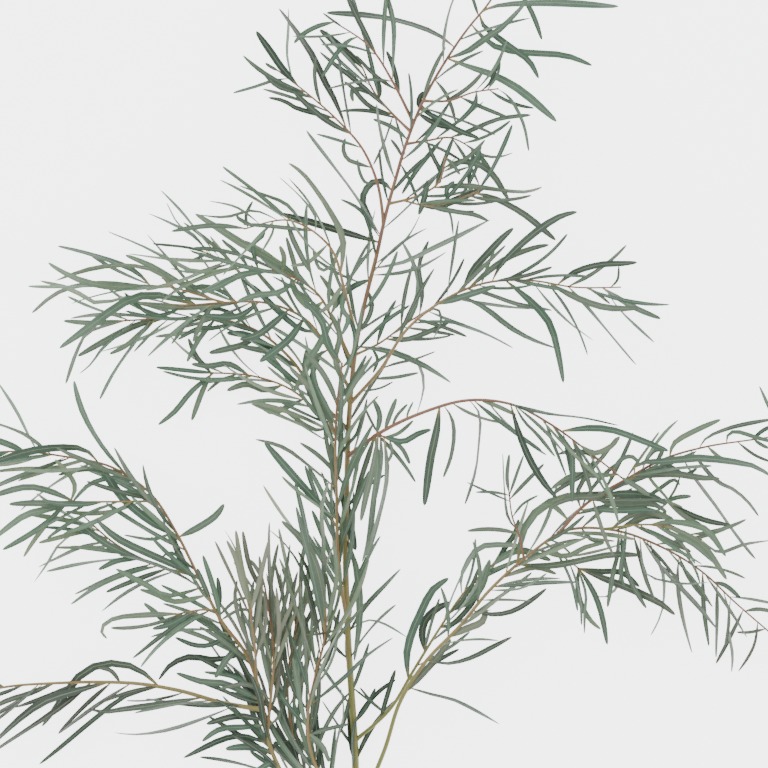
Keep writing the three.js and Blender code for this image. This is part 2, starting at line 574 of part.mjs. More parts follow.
    twigs: [
      twig([2.4, 0.8], [60, 34], [-26, -356], [-50, -328], [-74, -298], [-90, -275], [-98, -258],
        [-102, -240], [-107, -214], [-113, -187], [-121, -167], [-134, -149], [-149, -128],
        [-159, -106], [-172, -83], [-182, -62], [-190, -44], [-198, -32], [-210, -19], [-226, -6],
        [-245, 4], [-262, 10], [-280, 12], [-300, 14], [-325, 17], [-350, 18], [-370, 15]),
      twig([1.2, 0.8], [66, 60], [-203, -27], [-232, -28], [-260, -28], [-286, -28]),
      twig([1.3, 0.8], [52, 44], [-166, -96], [-190, -89], [-215, -80], [-240, -66], [-258, -52],
        [-270, -40]),
      twig([1.1, 0.8], [70, 64], [-150, -127], [-164, -125], [-184, -129]),
    ],
    leaves: [
      leaf(5, [-230, -4], [-250, 20], [-264, 43], [-272, 62], [-277, 81]),
      leaf(7.5, [-183, -60], [-208, -46], [-232, -26], [-246, -7], [-257, 8]),
      leaf(6.5, [-254, 8], [-268, 19], [-290, 21], [-320, 17], [-352, 7]),
      leaf(6.5, [-183, -60], [-165, -51], [-150, -41], [-142, -30]),
      leaf(6, [-262, -28], [-288, -30], [-312, -29], [-335, -30]),
      leaf(6, [-274, -28], [-297, -34], [-318, -39], [-332, -48], [-352, -64]),
      leaf(6, [-276, -28], [-300, -18], [-322, -15], [-354, -24]),
      leaf(5, [-282, -28], [-300, -45], [-318, -58], [-341, -71]),
      leaf(4.5, [-284, -28], [-302, -48], [-315, -65], [-323, -78]),
      leaf(4.5, [-256, -53], [-275, -56], [-290, -60], [-309, -65]),
      leaf(3, [-244, -63], [-270, -69], [-290, -78], [-309, -87]),
      leaf(5, [-218, -79], [-238, -81], [-255, -89]),
      leaf(5, [-160, -104], [-192, -112], [-212, -102], [-239, -88]),
      leaf(5, [-156, -112], [-185, -118], [-204, -111], [-218, -107]),
      leaf(7, [-170, -95], [-192, -82], [-214, -72], [-238, -60], [-256, -44]),
      leaf(6.5, [-214, -80], [-236, -72], [-256, -60], [-274, -46]),
      leaf(6, [-164, -98], [-176, -90], [-184, -72], [-190, -54]),
      leaf(3, [-186, -54], [-206, -62], [-232, -58]),
      leaf(3, [-168, -90], [-188, -74], [-198, -78]),
      leaf(4, [-206, -22], [-222, -20], [-238, -19]),
      leaf(4.5, [-220, -11], [-240, -7], [-262, -12], [-278, -28]),
      leaf(3, [-310, 15], [-318, 32], [-330, 56], [-350, 86]),
      leaf(3.2, [-298, 14], [-318, 30], [-335, 38], [-356, 45]),
      leaf(6, [-322, 17], [-338, 24], [-358, 31]),
      leaf(3.2, [-284, 12], [-308, 3], [-328, -5], [-354, -16]),
      leaf(4.5, [-270, 11], [-296, 1], [-325, 1], [-354, -2]),
      leaf(5, [-336, 18], [-356, 10], [-374, -4]),
      leaf(4, [-368, 15], [-378, 18], [-387, 14]),
      leaf(4.5, [-280, -28], [-276, -14], [-284, 0], [-294, 10]),
      leaf(5, [-182, -129], [-215, -130], [-240, -133], [-252, -142], [-247, -151]),
      leaf(5, [-170, -126], [-188, -137], [-206, -142]),
      leaf(5, [-178, -128], [-192, -137], [-203, -128], [-214, -119]),
      leaf(4.5, [-137, -145], [-152, -156], [-168, -157], [-186, -150]),
      leaf(5.5, [-122, -165], [-152, -170], [-172, -167], [-190, -174], [-201, -188]),
      leaf(5, [-144, -135], [-150, -110], [-161, -76]),
      leaf(4.5, [-153, -118], [-160, -103], [-166, -88]),
      leaf(4.5, [-148, -130], [-146, -112], [-148, -96]),
      leaf(3, [-147, -131], [-132, -117], [-117, -114]),
      leaf(3, [-145, -134], [-128, -125], [-116, -127]),
      leaf(6, [-108, -208], [-140, -192], [-162, -190], [-185, -182]),
      leaf(4, [-110, -200], [-132, -186], [-160, -181]),
      leaf(6, [-105, -226], [-130, -221], [-158, -228]),
      leaf(5.5, [-104, -229], [-125, -231], [-146, -233], [-162, -244]),
      leaf(5.5, [-101, -246], [-125, -239], [-146, -243], [-179, -259]),
      leaf(6.5, [-99, -254], [-120, -249], [-141, -251]),
      leaf(6, [-96, -262], [-108, -268], [-122, -280]),
      leaf(6, [-128, -156], [-140, -170], [-150, -186]),
      leaf(6, [-119, -170], [-136, -158], [-152, -140], [-172, -128]),
    ],
  },
  {
    name: "shoot_low_left",
    on: "shoot_far_left",
    color: 0x637a5d,
    twigs: [
      twig([1.9, 0.8], [28, 16], [-107, -216], [-123, -215], [-145, -209], [-167, -203],
        [-201, -194], [-234, -192], [-266, -191], [-311, -193], [-344, -196], [-372, -202]),
    ],
    leaves: [
      leaf(7, [-201, -194], [-222, -178], [-250, -174], [-273, -185], [-292, -210], [-307, -231]),
      leaf(6.5, [-246, -192], [-278, -200], [-303, -208], [-325, -223], [-352, -248]),
      leaf(5, [-262, -192], [-290, -214], [-318, -233], [-352, -255]),
      leaf(5, [-296, -193], [-320, -202], [-336, -207], [-356, -216]),
      leaf(3, [-310, -193], [-330, -212], [-354, -230]),
      restingLeaf(4.5, [-200, -194], [-232, -204], [-250, -217], [-270, -233], [-290, -250], [-310, -266]),
      leaf(5, [-160, -205], [-200, -211], [-230, -215], [-250, -218], [-264, -215]),
      leaf(3, [-132, -213], [-160, -222], [-190, -232], [-220, -237], [-241, -236]),
      leaf(4, [-236, -192], [-244, -181], [-256, -178]),
      leaf(4.5, [-340, -196], [-358, -190], [-378, -192]),
      leaf(4, [-370, -202], [-378, -210], [-386, -222]),
      leaf(4, [-352, -198], [-364, -210], [-378, -232]),
    ],
  },
  {
    name: "shoot_upright_one",
    on: "main_stem",
    color: 0x4f6f51,
    twigs: [
      twig([2.0, 0.9], [58, 78], [-25, -318], [-44, -296], [-58, -272], [-65, -248], [-67, -225],
        [-64, -200], [-58, -178], [-53, -158], [-50, -136], [-51, -112]),
    ],
    leaves: [
      leaf(8.5, [-50, -134], [-54, -108], [-61, -80], [-73, -60], [-90, -45]),
      leaf(5, [-50, -128], [-52, -96], [-52, -60], [-54, -35], [-48, -10]),
      leaf(5.5, [-51, -118], [-62, -80], [-70, -42], [-78, -10]),
      leaf(6.5, [-52, -146], [-63, -90], [-71, -58], [-77, -32]),
      leaf(5, [-51, -140], [-44, -115], [-40, -90], [-44, -62]),
      leaf(2.8, [-51, -116], [-70, -66], [-90, -38], [-107, -13]),
      leaf(3.2, [-54, -160], [-68, -100], [-84, -70], [-101, -53]),
      leaf(4, [-65, -212], [-32, -185], [-14, -167], [10, -150]),
      leaf(4.5, [-66, -238], [-48, -232], [-30, -228]),
      leaf(5, [-62, -192], [-48, -168], [-42, -144], [-38, -124]),
      leaf(3, [-63, -196], [-50, -180], [-42, -160], [-40, -142]),
      leaf(5, [-67, -230], [-82, -214], [-94, -196], [-98, -176]),
      leaf(5, [-66, -216], [-78, -200], [-86, -176], [-88, -156]),
      leaf(4, [-66, -240], [-54, -250], [-46, -262]),
    ],
  },
  {
    name: "shoot_upright_two",
    on: "main_stem",
    color: 0x5b7859,
    twigs: [
      twig([1.8, 0.9], [30, 48], [-26, -337], [-50, -310], [-68, -282], [-78, -252], [-84, -218],
        [-85, -190], [-81, -160], [-77, -136], [-73, -112]),
    ],
    leaves: [
      leaf(5, [-76, -130], [-82, -100], [-88, -74], [-93, -52]),
      leaf(5, [-74, -118], [-73, -98], [-72, -80], [-66, -54]),
      leaf(6, [-83, -175], [-74, -140], [-68, -110], [-66, -84]),
      leaf(5, [-85, -186], [-90, -150], [-97, -118], [-104, -95]),
      leaf(5.5, [-84, -206], [-92, -172], [-104, -150], [-118, -130]),
      leaf(6, [-82, -232], [-98, -214], [-116, -206], [-138, -200]),
      leaf(6, [-84, -214], [-72, -190], [-66, -160], [-70, -130]),
      leaf(5, [-80, -244], [-94, -246], [-108, -258]),
      leaf(5, [-76, -258], [-66, -240], [-52, -232]),
      leaf(3, [-79, -148], [-64, -148], [-50, -146], [-34, -142]),
    ],
  },
  {
    name: "shoot_upright_three",
    on: "shoot_far_left",
    color: 0x68805f,
    twigs: [
      twig([1.5, 0.9], [64, 74], [-103, -237], [-100, -206], [-97, -180], [-98, -150], [-102, -124],
        [-106, -100]),
    ],
    leaves: [
      leaf(5, [-98, -148], [-99, -110], [-101, -80], [-101, -46]),
      leaf(6, [-104, -114], [-112, -100], [-120, -82], [-125, -54]),
      leaf(5, [-98, -160], [-90, -130], [-84, -104], [-90, -88]),
      leaf(5, [-105, -104], [-110, -92], [-118, -80]),
      leaf(5, [-98, -176], [-106, -150], [-110, -122], [-108, -96]),
      leaf(4.5, [-99, -196], [-92, -172], [-88, -148], [-90, -122]),
      leaf(5.5, [-100, -206], [-112, -196], [-126, -192], [-146, -196]),
    ],
  },
  {
    name: "shoot_upright_four",
    on: "shoot_far_left",
    color: 0x6c8362,
    twigs: [
      twig([1.4, 0.9], [80, 88], [-113, -188], [-114, -164], [-116, -140], [-120, -116]),
    ],
    leaves: [
      leaf(6.5, [-116, -136], [-120, -112], [-126, -86], [-131, -53]),
      leaf(6, [-119, -120], [-126, -98], [-131, -78], [-139, -62]),
      leaf(5, [-115, -150], [-110, -124], [-108, -98], [-110, -76]),
      leaf(5, [-114, -166], [-126, -140], [-132, -116], [-130, -98]),
    ],
  },
];

// A stream of repeatable draws between 0 and 1
function draws(seed) {
  let state = seed;
  return () => {
    state = (1664525 * state + 1013904223) % 4294967296;
    return state / 4294967296;
  };
}

// Points of a smooth route through the given points, with a number of steps in each span
function smoothRoute(points, steps) {
  const line = [];
  for (let i = 0; i < points.length - 1; i += 1) {
    const a = points[Math.max(i - 1, 0)];
    const b = points[i];
    const c = points[i + 1];
    const d = points[Math.min(i + 2, points.length - 1)];
    for (let s = 0; s < steps; s += 1) {
      const u = s / steps;
      line.push(b.map((_, k) => 0.5 * (2 * b[k] + (c[k] - a[k]) * u
        + (2 * a[k] - 5 * b[k] + 4 * c[k] - d[k]) * u * u
        + (3 * b[k] - a[k] - 3 * c[k] + d[k]) * u * u * u)));
    }
  }
  line.push(points[points.length - 1]);
  return line;
}

// Distance along a route to each of its points
function travelled(line) {
  const run = [0];
  for (let i = 1; i < line.length; i += 1) {
    run.push(run[i - 1] + Math.hypot(...line[i].map((value, k) => value - line[i - 1][k])));
  }
  return run;
}

// The point a share of the way along a route
function pointAt(line, run, share) {
  const target = share * run[run.length - 1];
  let i = 1;
  while (i < run.length - 1 && run[i] < target) {
    i += 1;
  }
  const u = (target - run[i - 1]) / (run[i] - run[i - 1]);
  return line[i - 1].map((value, k) => value + (line[i][k] - value) * u);
}

// The point of some twigs nearest to a place seen from above
function nearestOn(axes, place) {
  let best = null;
  for (const axis of axes) {
    axis.forEach((point, index) => {
      const gap = Math.hypot(point[0] - place[0], point[1] - place[1]);
      if (!best || gap < best.gap) {
        best = { gap, point, axis, index };
      }
    });
  }
  return best;
}

// A closed solid lofted through rings of points; a ring of one point is a tip
function loft(rings) {
  const vertices = rings.flat(2);
  const triangles = [];
  const sides = rings[0].length;
  for (let k = 1; k < sides - 1; k += 1) {
    triangles.push(0, k + 1, k);
  }
  let start = 0;
  for (let i = 1; i < rings.length; i += 1) {
    const next = start + sides;
    for (let k = 0; k < sides; k += 1) {
      const across = (k + 1) % sides;
      if (rings[i].length === 1) {
        triangles.push(start + k, start + across, next);
      } else {
        triangles.push(start + k, start + across, next + across, start + k, next + across, next + k);
      }
    }
    start = next;
  }
  if (rings[rings.length - 1].length > 1) {
    for (let k = 1; k < sides - 1; k += 1) {
      triangles.push(start, start + k, start + k + 1);
    }
  }
  return { vertices, triangles };
}

// The solid that joins and cuts, from vertices and triangles
function solidOf({ vertices, triangles }) {
  return new wasm.Manifold(new wasm.Mesh({
    numProp: 3,
    vertProperties: new Float32Array(vertices),
    triVerts: new Uint32Array(triangles),
  }));
}

// A tapered tube along an axis, grown all round by a margin
function tube(axis, radii, sides, margin) {
  const run = travelled(axis);
  const rings = axis.map((point, i) => {
    const before = axis[Math.max(i - 1, 0)];
    const after = axis[Math.min(i + 1, axis.length - 1)];
    const along = new THREE.Vector3(...after).sub(new THREE.Vector3(...before)).normalize();
    const side = new THREE.Vector3().crossVectors(new THREE.Vector3(0, 0, 1), along).normalize();
    const up = new THREE.Vector3().crossVectors(along, side);
    const radius = radii[0] + (radii[1] - radii[0]) * run[i] / run[run.length - 1] + margin;
    return Array.from({ length: sides }, (_, k) => {
      const angle = 2 * Math.PI * (k + 0.5) / sides - Math.PI / 2;
      const spot = new THREE.Vector3(...point);
      spot.addScaledVector(side, radius * Math.cos(angle));
      spot.addScaledVector(up, radius * Math.sin(angle));
      return spot.toArray();
    });
  });
  return solidOf(loft(rings));
}

// A twig's axis: its route seen from above, arched through its root, middle and tip heights
function twigAxis(shape, root) {
  const plan = smoothRoute([root.slice(0, 2), ...shape.route.slice(1)], TWIG_SMOOTHING);
  const run = travelled(plan);
  const length = run[run.length - 1];
  const steps = Math.max(3, Math.ceil(length / TWIG_STEP));
  return Array.from({ length: steps + 1 }, (_, i) => {
    const t = i / steps;
    const fromRoot = root[2] * (1 - t) * (1 - 2 * t);
    const fromMiddle = 4 * shape.heights[0] * t * (1 - t);
    const fromTip = shape.heights[1] * t * (2 * t - 1);
    return [...pointAt(plan, run, t), fromRoot + fromMiddle + fromTip];
  });
}

// Points along an axis close enough together to find what crosses it
function denseAxis(axis, gap) {
  const run = travelled(axis);
  const count = Math.ceil(run[run.length - 1] / gap);
  return Array.from({ length: count + 1 }, (_, i) => pointAt(axis, run, i / count));
}

// A leaf's share of its greatest width along its length
function bladeWidth(t) {
  if (t < LEAF_PEAK) {
    return LEAF_ROOT_SHARE + (1 - LEAF_ROOT_SHARE) * Math.sin(0.5 * Math.PI * t / LEAF_PEAK);
  }
  return 1 - ((t - LEAF_PEAK) / (1 - LEAF_PEAK)) ** LEAF_TAPER;
}

// Keeps a height above the surface, easing into the margin
function aboveFloor(z, margin) {
  const rise = z - margin;
  return margin + 0.5 * (rise + Math.sqrt(rise * rise + FLOOR_SOFTNESS * FLOOR_SOFTNESS));
}

// The rings of a blade: two edges and a keel below, ending in a point
function bladeRings(plan, root, pose) {
  const run = travelled(plan);
  const length = run[run.length - 1];
  const width = Math.max(pose.shown, Math.min(LEAF_WIDTH_MAX, LEAF_WIDTH_RATIO * length));
  const tilt = Math.min(MAX_ROLL, Math.acos(Math.min(1, pose.shown / width)));
  let turn = 0;
  for (let i = 2; i < plan.length; i += 1) {
    const a = Math.atan2(plan[i - 1][1] - plan[i - 2][1], plan[i - 1][0] - plan[i - 2][0]);
    const b = Math.atan2(plan[i][1] - plan[i - 1][1], plan[i][0] - plan[i - 1][0]);
    turn += Math.abs(Math.atan2(Math.sin(b - a), Math.cos(b - a)));
  }
  const isShort = length < SHORT_LEAF && turn < GENTLE_TURN;
  const steps = isShort ? 2 : 3 + Math.min(MORE_STEPS, Math.floor(turn / TURN_STEP));
  const rings = [];
  for (let i = 0; i <= steps; i += 1) {
    const t = 1 - (1 - i / steps) ** STATION_BUNCHING;
    const [x, y] = pointAt(plan, run, t);
    const before = pointAt(plan, run, Math.max(t - TANGENT_REACH, 0));
    const after = pointAt(plan, run, Math.min(t + TANGENT_REACH, 1));
    const pace = Math.hypot(after[0] - before[0], after[1] - before[1]);
    const side = [(before[1] - after[1]) / pace, (after[0] - before[0]) / pace];
    const roll = pose.side * tilt + pose.twist * (t - LEAF_PEAK);
    const half = 0.5 * width * bladeWidth(t);
    const keel = LEAF_KEEL * Math.min(1, KEEL_TAPER * (1 - t));
    const lowest = half * Math.abs(Math.sin(roll)) + keel;
    let z = root[2] + pose.rise * t + pose.bow * 4 * t * (1 - t);
    if (pose.rests) {
      z = root[2] * (1 - t) ** REST_SAG;
    } else {
      z = aboveFloor(z, FLOOR_MARGIN + lowest);
    }
    if (i === steps) {
      rings.push([[x, y, z]]);
    } else {
      const flat = Math.cos(roll);
      const lift = Math.sin(roll);
      const across = [side[0] * flat * half, side[1] * flat * half, lift * half];
      const under = [side[0] * lift * keel, side[1] * lift * keel, -flat * keel];
      rings.push([
        [x - across[0], y - across[1], z - across[2]],
        [x + under[0], y + under[1], z + under[2]],
        [x + across[0], y + across[1], z + across[2]],
      ]);
    }
  }
  return rings;
}

// Points spread over a blade, each with its distance from the leaf's root
function bladePoints(rings, gap) {
  const points = [];
  let run = 0;
  for (let i = 1; i < rings.length; i += 1) {
    const from = rings[i - 1];
    const to = rings[i].length === 1 ? [rings[i][0], rings[i][0], rings[i][0]] : rings[i];
    const stretch = Math.hypot(...to[1].map((value, k) => value - from[1][k]));
    const rows = Math.ceil(stretch / gap);
    for (let r = 0; r < rows; r += 1) {
      const u = r / rows;
      const left = from[0].map((value, k) => value + (to[0][k] - value) * u);
      const right = from[2].map((value, k) => value + (to[2][k] - value) * u);
      const columns = Math.max(1, Math.ceil(Math.hypot(...left.map((value, k) => value - right[k])) / gap));
      for (let c = 0; c <= columns; c += 1) {
        const spot = left.map((value, k) => value + (right[k] - value) * c / columns);
        points.push({ spot, run: run + stretch * u });
      }
    }
    run += stretch;
  }
  points.push({ spot: rings[rings.length - 1][0], run });
  return points;
}

// Everything placed so far, in cells, to find what a new leaf would touch
const CELL = 7;
const placed = new Map();

function cellKey(i, j, k) {
  return (i + 512) * 1048576 + (j + 512) * 1024 + (k + 512);
}

function remember(spot, radius, node, isTwig, run) {
  const key = cellKey(...spot.map((value) => Math.floor(value / CELL)));
  if (!placed.has(key)) {
    placed.set(key, []);
  }
  placed.get(key).push({ spot, radius, node, isTwig, run });
}

// Whether a point of a new leaf keeps its distance from everything else
function isClear(spot, node, run) {
  const [i, j, k] = spot.map((value) => Math.floor(value / CELL));
  for (let a = i - 1; a <= i + 1; a += 1) {
    for (let b = j - 1; b <= j + 1; b += 1) {
      for (let c = k - 1; c <= k + 1; c += 1) {
        for (const other of placed.get(cellKey(a, b, c)) ?? []) {
          const own = other.node === node;
          if (own && (other.isTwig || run < ROOT_ZONE || other.run < ROOT_ZONE)) {
            continue;
          }
          const limit = other.isTwig ? other.radius + TWIG_CLEARANCE : LEAF_CLEARANCE;
          const gap = Math.hypot(spot[0] - other.spot[0], spot[1] - other.spot[1], spot[2] - other.spot[2]);
          if (gap < limit) {
            return false;
          }
        }
      }
    }
  }
  return true;
}

// The main stem and every twig, root first, so that each shoot starts on what carries it
const BLADE_GAP = 2;
const nodes = new Map();

function addTwig(node, axis, radii, sides) {
  node.twigs.push({ axis, radii, sides });
  const dense = denseAxis(axis, BLADE_GAP);
  node.dense.push(dense);
  dense.forEach((spot, i) => {
    const share = i / (dense.length - 1);
    remember(spot, radii[0] + (radii[1] - radii[0]) * share, node.name, true, 0);
  });
}

const stem = {
  name: "main_stem",
  color: STEM_COLOR,
  twigs: [],
  dense: [],
  leaves: STEM_LEAVES,
  blades: [],
};
nodes.set(stem.name, stem);

// Where the stem lies down, its axis is as high as the lowest of its facets is deep
const stemRun = travelled(STEM_ROUTE);
const stemAxis = STEM_ROUTE.map(([x, y, z], i) => {
  const share = stemRun[i] / stemRun[stemRun.length - 1];
  const radius = STEM_BUTT_RADIUS + (STEM_TIP_RADIUS - STEM_BUTT_RADIUS) * share;
  return [x, y, i < STEM_REST_POINTS ? radius * Math.cos(Math.PI / STEM_SIDES) : z];
});
addTwig(stem, stemAxis, [STEM_BUTT_RADIUS, STEM_TIP_RADIUS], STEM_SIDES);

for (const shoot of SHOOTS) {
  const node = { ...shoot, twigs: [], dense: [], blades: [] };
  nodes.set(node.name, node);
  const carrier = nodes.get(shoot.on);
  shoot.twigs.forEach((shape, i) => {
    const seat = nearestOn(i === 0 ? carrier.dense : node.dense, shape.route[0]);
    addTwig(node, twigAxis(shape, seat.point), shape.radii, TWIG_SIDES);
  });
}

// Tries a leaf's poses until one is clear, and keeps its rings
function placeLeaf(node, plan, root, shape, next) {
  const reach = travelled(plan).pop();
  for (let attempt = 0; attempt < LEAF_TRIES; attempt += 1) {
    const span = reach * (RISE_SHARE + RISE_GROWTH * attempt);
    const pose = {
      shown: shape.width,
      rests: shape.rests,
      rise: (next() - RISE_BIAS) * span,
      bow: (next() - BOW_BIAS) * BOW_SHARE * reach,
      side: Math.sign(next() - 0.5) * (shape.rests ? 0 : 1),
      twist: (next() - 0.5) * (shape.rests ? 0 : TWIST_RANGE),
    };
    const rings = bladeRings(plan, root, pose);
    const points = bladePoints(rings, BLADE_GAP);
    if (points.every(({ spot, run }) => isClear(spot, node.name, run))) {
      points.forEach(({ spot, run }) => remember(spot, 0, node.name, false, run));
      node.blades.push(rings);
      return;
    }
  }
}

// The marked leaves, each started at the nearest point of its own shoot
let seed = FIRST_SEED;
for (const node of nodes.values()) {
  for (const shape of node.leaves) {
    seed += SEED_STEP;
    const seat = nearestOn(node.dense, shape.route[0]);
    const plan = smoothRoute([seat.point.slice(0, 2), ...shape.route.slice(1)], LEAF_SMOOTHING);
    placeLeaf(node, plan, seat.point, shape, draws(seed));
  }
}

// Removes all but the largest piece of a solid
function largestPiece(mesh) {
  const count = mesh.vertProperties.length / 3;
  const parent = Array.from({ length: count }, (_, i) => i);
  const find = (i) => {
    let top = i;
    while (parent[top] !== top) {
      parent[top] = parent[parent[top]];
      top = parent[top];
    }
    return top;
  };
  for (let t = 0; t < mesh.triVerts.length; t += 3) {
    parent[find(mesh.triVerts[t])] = find(mesh.triVerts[t + 1]);
    parent[find(mesh.triVerts[t + 1])] = find(mesh.triVerts[t + 2]);
  }
  const sizes = new Map();
  for (let t = 0; t < mesh.triVerts.length; t += 3) {
    const top = find(mesh.triVerts[t]);
    sizes.set(top, (sizes.get(top) ?? 0) + 1);
  }
  const [keep] = [...sizes.entries()].reduce((best, entry) => (entry[1] > best[1] ? entry : best));
  const kept = [];
  for (let t = 0; t < mesh.triVerts.length; t += 3) {
    if (find(mesh.triVerts[t]) === keep) {
      kept.push(mesh.triVerts[t], mesh.triVerts[t + 1], mesh.triVerts[t + 2]);
    }
  }
  return kept;
}

const branch = new THREE.Group();
for (const node of nodes.values()) {
  let solid = null;
  for (const { axis, radii, sides } of node.twigs) {
    const piece = tube(axis, radii, sides, 0);
    solid = solid ? solid.add(piece) : piece;
  }
  for (const rings of node.blades) {
    solid = solid.add(solidOf(loft(rings)));
  }
  if (node.on) {
    for (const { axis, radii, sides } of nodes.get(node.on).twigs) {
      solid = solid.subtract(tube(axis, radii, sides, SEAT_GAP));
    }
  }
  const mesh = solid.getMesh();
  const geometry = new THREE.BufferGeometry();
  geometry.setAttribute("position", new THREE.BufferAttribute(new Float32Array(mesh.vertProperties), 3));
  geometry.setIndex(largestPiece(mesh));
  const finish = new THREE.MeshStandardMaterial({
    color: node.color,
    roughness: LEAF_ROUGHNESS,
    metalness: 0,
  });
  const part = new THREE.Mesh(geometry, finish);
  part.name = node.name;
  branch.add(part);
}

export default branch;
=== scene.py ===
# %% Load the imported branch
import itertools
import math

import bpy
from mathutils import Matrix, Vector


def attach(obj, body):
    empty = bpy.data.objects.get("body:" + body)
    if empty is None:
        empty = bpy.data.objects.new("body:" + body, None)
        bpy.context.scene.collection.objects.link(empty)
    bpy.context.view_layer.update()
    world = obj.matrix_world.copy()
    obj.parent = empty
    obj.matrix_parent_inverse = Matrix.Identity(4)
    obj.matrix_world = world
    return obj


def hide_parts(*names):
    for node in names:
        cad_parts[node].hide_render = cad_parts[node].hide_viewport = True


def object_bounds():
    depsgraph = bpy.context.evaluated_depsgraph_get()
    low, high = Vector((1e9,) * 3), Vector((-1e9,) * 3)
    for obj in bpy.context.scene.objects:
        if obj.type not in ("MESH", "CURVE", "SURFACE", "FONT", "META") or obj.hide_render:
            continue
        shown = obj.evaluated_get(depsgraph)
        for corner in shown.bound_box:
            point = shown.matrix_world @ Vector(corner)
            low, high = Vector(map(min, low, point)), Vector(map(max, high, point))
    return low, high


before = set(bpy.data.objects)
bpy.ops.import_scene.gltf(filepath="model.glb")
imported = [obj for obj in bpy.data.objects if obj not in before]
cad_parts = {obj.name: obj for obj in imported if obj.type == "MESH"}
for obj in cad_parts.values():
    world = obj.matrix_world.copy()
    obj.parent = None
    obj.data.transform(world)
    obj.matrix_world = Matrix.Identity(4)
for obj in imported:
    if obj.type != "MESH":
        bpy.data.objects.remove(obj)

# %% [markdown]
# # A cut eucalyptus branch, seen from above
# The solids that come with the frame are plain: every leaf is a three-sided blade and every twig
# has four sides. Here each of them gets its finer form, its veins and its colours. Nothing moves,
# so all pieces ride on one body. The box of the solids is kept, and the small leaves are kept
# within its width and length.

MM = 0.001
scene = bpy.context.scene
cad_box = [list(corner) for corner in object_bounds()]
print("box of the solids, m:", cad_box)

# %% [markdown]
# ## Camera
# The branch lies down, so a camera above it sees what a viewer in front of it would see. A long
# lens from far away keeps high and low leaves at almost one scale. The frame is square, 768 pixels
# wide, and each pixel is 0.9 mm at the height where most leaves are.

# %% Camera above the branch
FRAME_PIXELS = 768
PIXEL_MM = 0.9
FRAME_WIDTH = FRAME_PIXELS * PIXEL_MM * MM
FRAME_MIDDLE = (1.8 * MM, 77.9 * MM)
LEAF_LEVEL = 50 * MM
CAMERA_DISTANCE = 10.0
SENSOR_MM = 36
SIGHT_LIMIT = 50

camera_data = bpy.data.cameras.new("camera above")
camera_data.sensor_width = SENSOR_MM
camera_data.lens = SENSOR_MM * CAMERA_DISTANCE / FRAME_WIDTH
camera_data.clip_end = SIGHT_LIMIT
camera = bpy.data.objects.new("camera above", camera_data)
camera.location = (*FRAME_MIDDLE, LEAF_LEVEL + CAMERA_DISTANCE)
scene.collection.objects.link(camera)
scene.camera = camera
print("lens, mm:", round(camera_data.lens, 1))

# %% [markdown]
# ## Floor and light
# A plain pale floor stands for the bright wall behind the branch. It glows by itself, so it is as
# bright as a lit wall and the shadow on it stays faint. Two very large soft lamps and a white sky
# give the leaves the even daylight of a white room.

# %% Pale floor
FLOOR_HALF = 6.0
FLOOR_DROP = 0.4 * MM
FLOOR_COLOR = (0.88, 0.89, 0.885, 1)
FLOOR_ROUGHNESS = 0.9
GLOW_COLOR = (0.968, 0.988, 0.985, 1)
GLOW_STRENGTH = 3.5

floor_mesh = bpy.data.meshes.new("pale floor")
floor_mesh.from_pydata(
    [
        (-FLOOR_HALF, -FLOOR_HALF, -FLOOR_DROP),
        (FLOOR_HALF, -FLOOR_HALF, -FLOOR_DROP),
        (FLOOR_HALF, FLOOR_HALF, -FLOOR_DROP),
        (-FLOOR_HALF, FLOOR_HALF, -FLOOR_DROP),
    ],
    [],
    [(0, 1, 2, 3)],
)
floor = bpy.data.objects.new("pale floor", floor_mesh)
scene.collection.objects.link(floor)
floor_paint = bpy.data.materials.new("pale floor")
floor_paint.use_nodes = True
floor_shader = floor_paint.node_tree.nodes["Principled BSDF"]
floor_shader.inputs["Base Color"].default_value = FLOOR_COLOR
floor_shader.inputs["Roughness"].default_value = FLOOR_ROUGHNESS
floor_shader.inputs["Emission Color"].default_value = GLOW_COLOR
floor_shader.inputs["Emission Strength"].default_value = GLOW_STRENGTH
floor_mesh.materials.append(floor_paint)
print("floor side, m:", 2 * FLOOR_HALF)

# %% Soft lamps and a white sky
LAMP_SIZE = 3.0
SKY_COLOR = (0.95, 0.98, 1.0, 1)
SKY_STRENGTH = 1.15


def soft_lamp(name, place, watts):
    lamp_data = bpy.data.lights.new(name, "AREA")
    lamp_data.shape = "SQUARE"
    lamp_data.size = LAMP_SIZE
    lamp_data.energy = watts
    lamp = bpy.data.objects.new(name, lamp_data)
    lamp.location = place
    direction = -lamp.location
    lamp.rotation_euler = direction.to_track_quat("-Z", "Y").to_euler()
    scene.collection.objects.link(lamp)


soft_lamp("window side", place=(-2.2, 1.6, 2.6), watts=100)
soft_lamp("room side", place=(2.0, -0.8, 3.0), watts=45)
sky = bpy.data.worlds.new("white sky")
sky.use_nodes = True
sky_shader = sky.node_tree.nodes["Background"]
sky_shader.inputs["Color"].default_value = SKY_COLOR
sky_shader.inputs["Strength"].default_value = SKY_STRENGTH
scene.world = sky

# %% [markdown]
# ## How the branch is written down
# Hundreds of leaves pulled into place by hand would be slow to correct. Written as short rows of
# points, they are easy to change. A twig is its radius at both ends, its height in the middle and
# at the tip, and its route seen from above. A leaf is the width that it shows from above and its
# midrib, root first. A leaf that looks plainly darker than its neighbours is marked dark: that is
# partly its own colour and partly the shade that it lies in, which is painted into its tone. All
# numbers are millimetres in the part's own frame. Routes repeat those of the solids, and some widths
# differ from theirs. Extra leaves, about half of them slivers seen nearly edge-on, are only in this
# scene. So are the small leaves, which a rule sets along the twigs. The rule says the gap between two
# of them, the shares of the twig that stay bare at its foot and its tip, their shortest and longest
# length, the angle in degrees at which they stand off the twig, the sides that they take in turn, 1
# for the left of the twig and -1 for its right, and the least and greatest width that they show.

# %% Words for twigs, leaves and shoots
SHOOTS = {}
USUAL_WIDTHS = (2.2, 4.2)


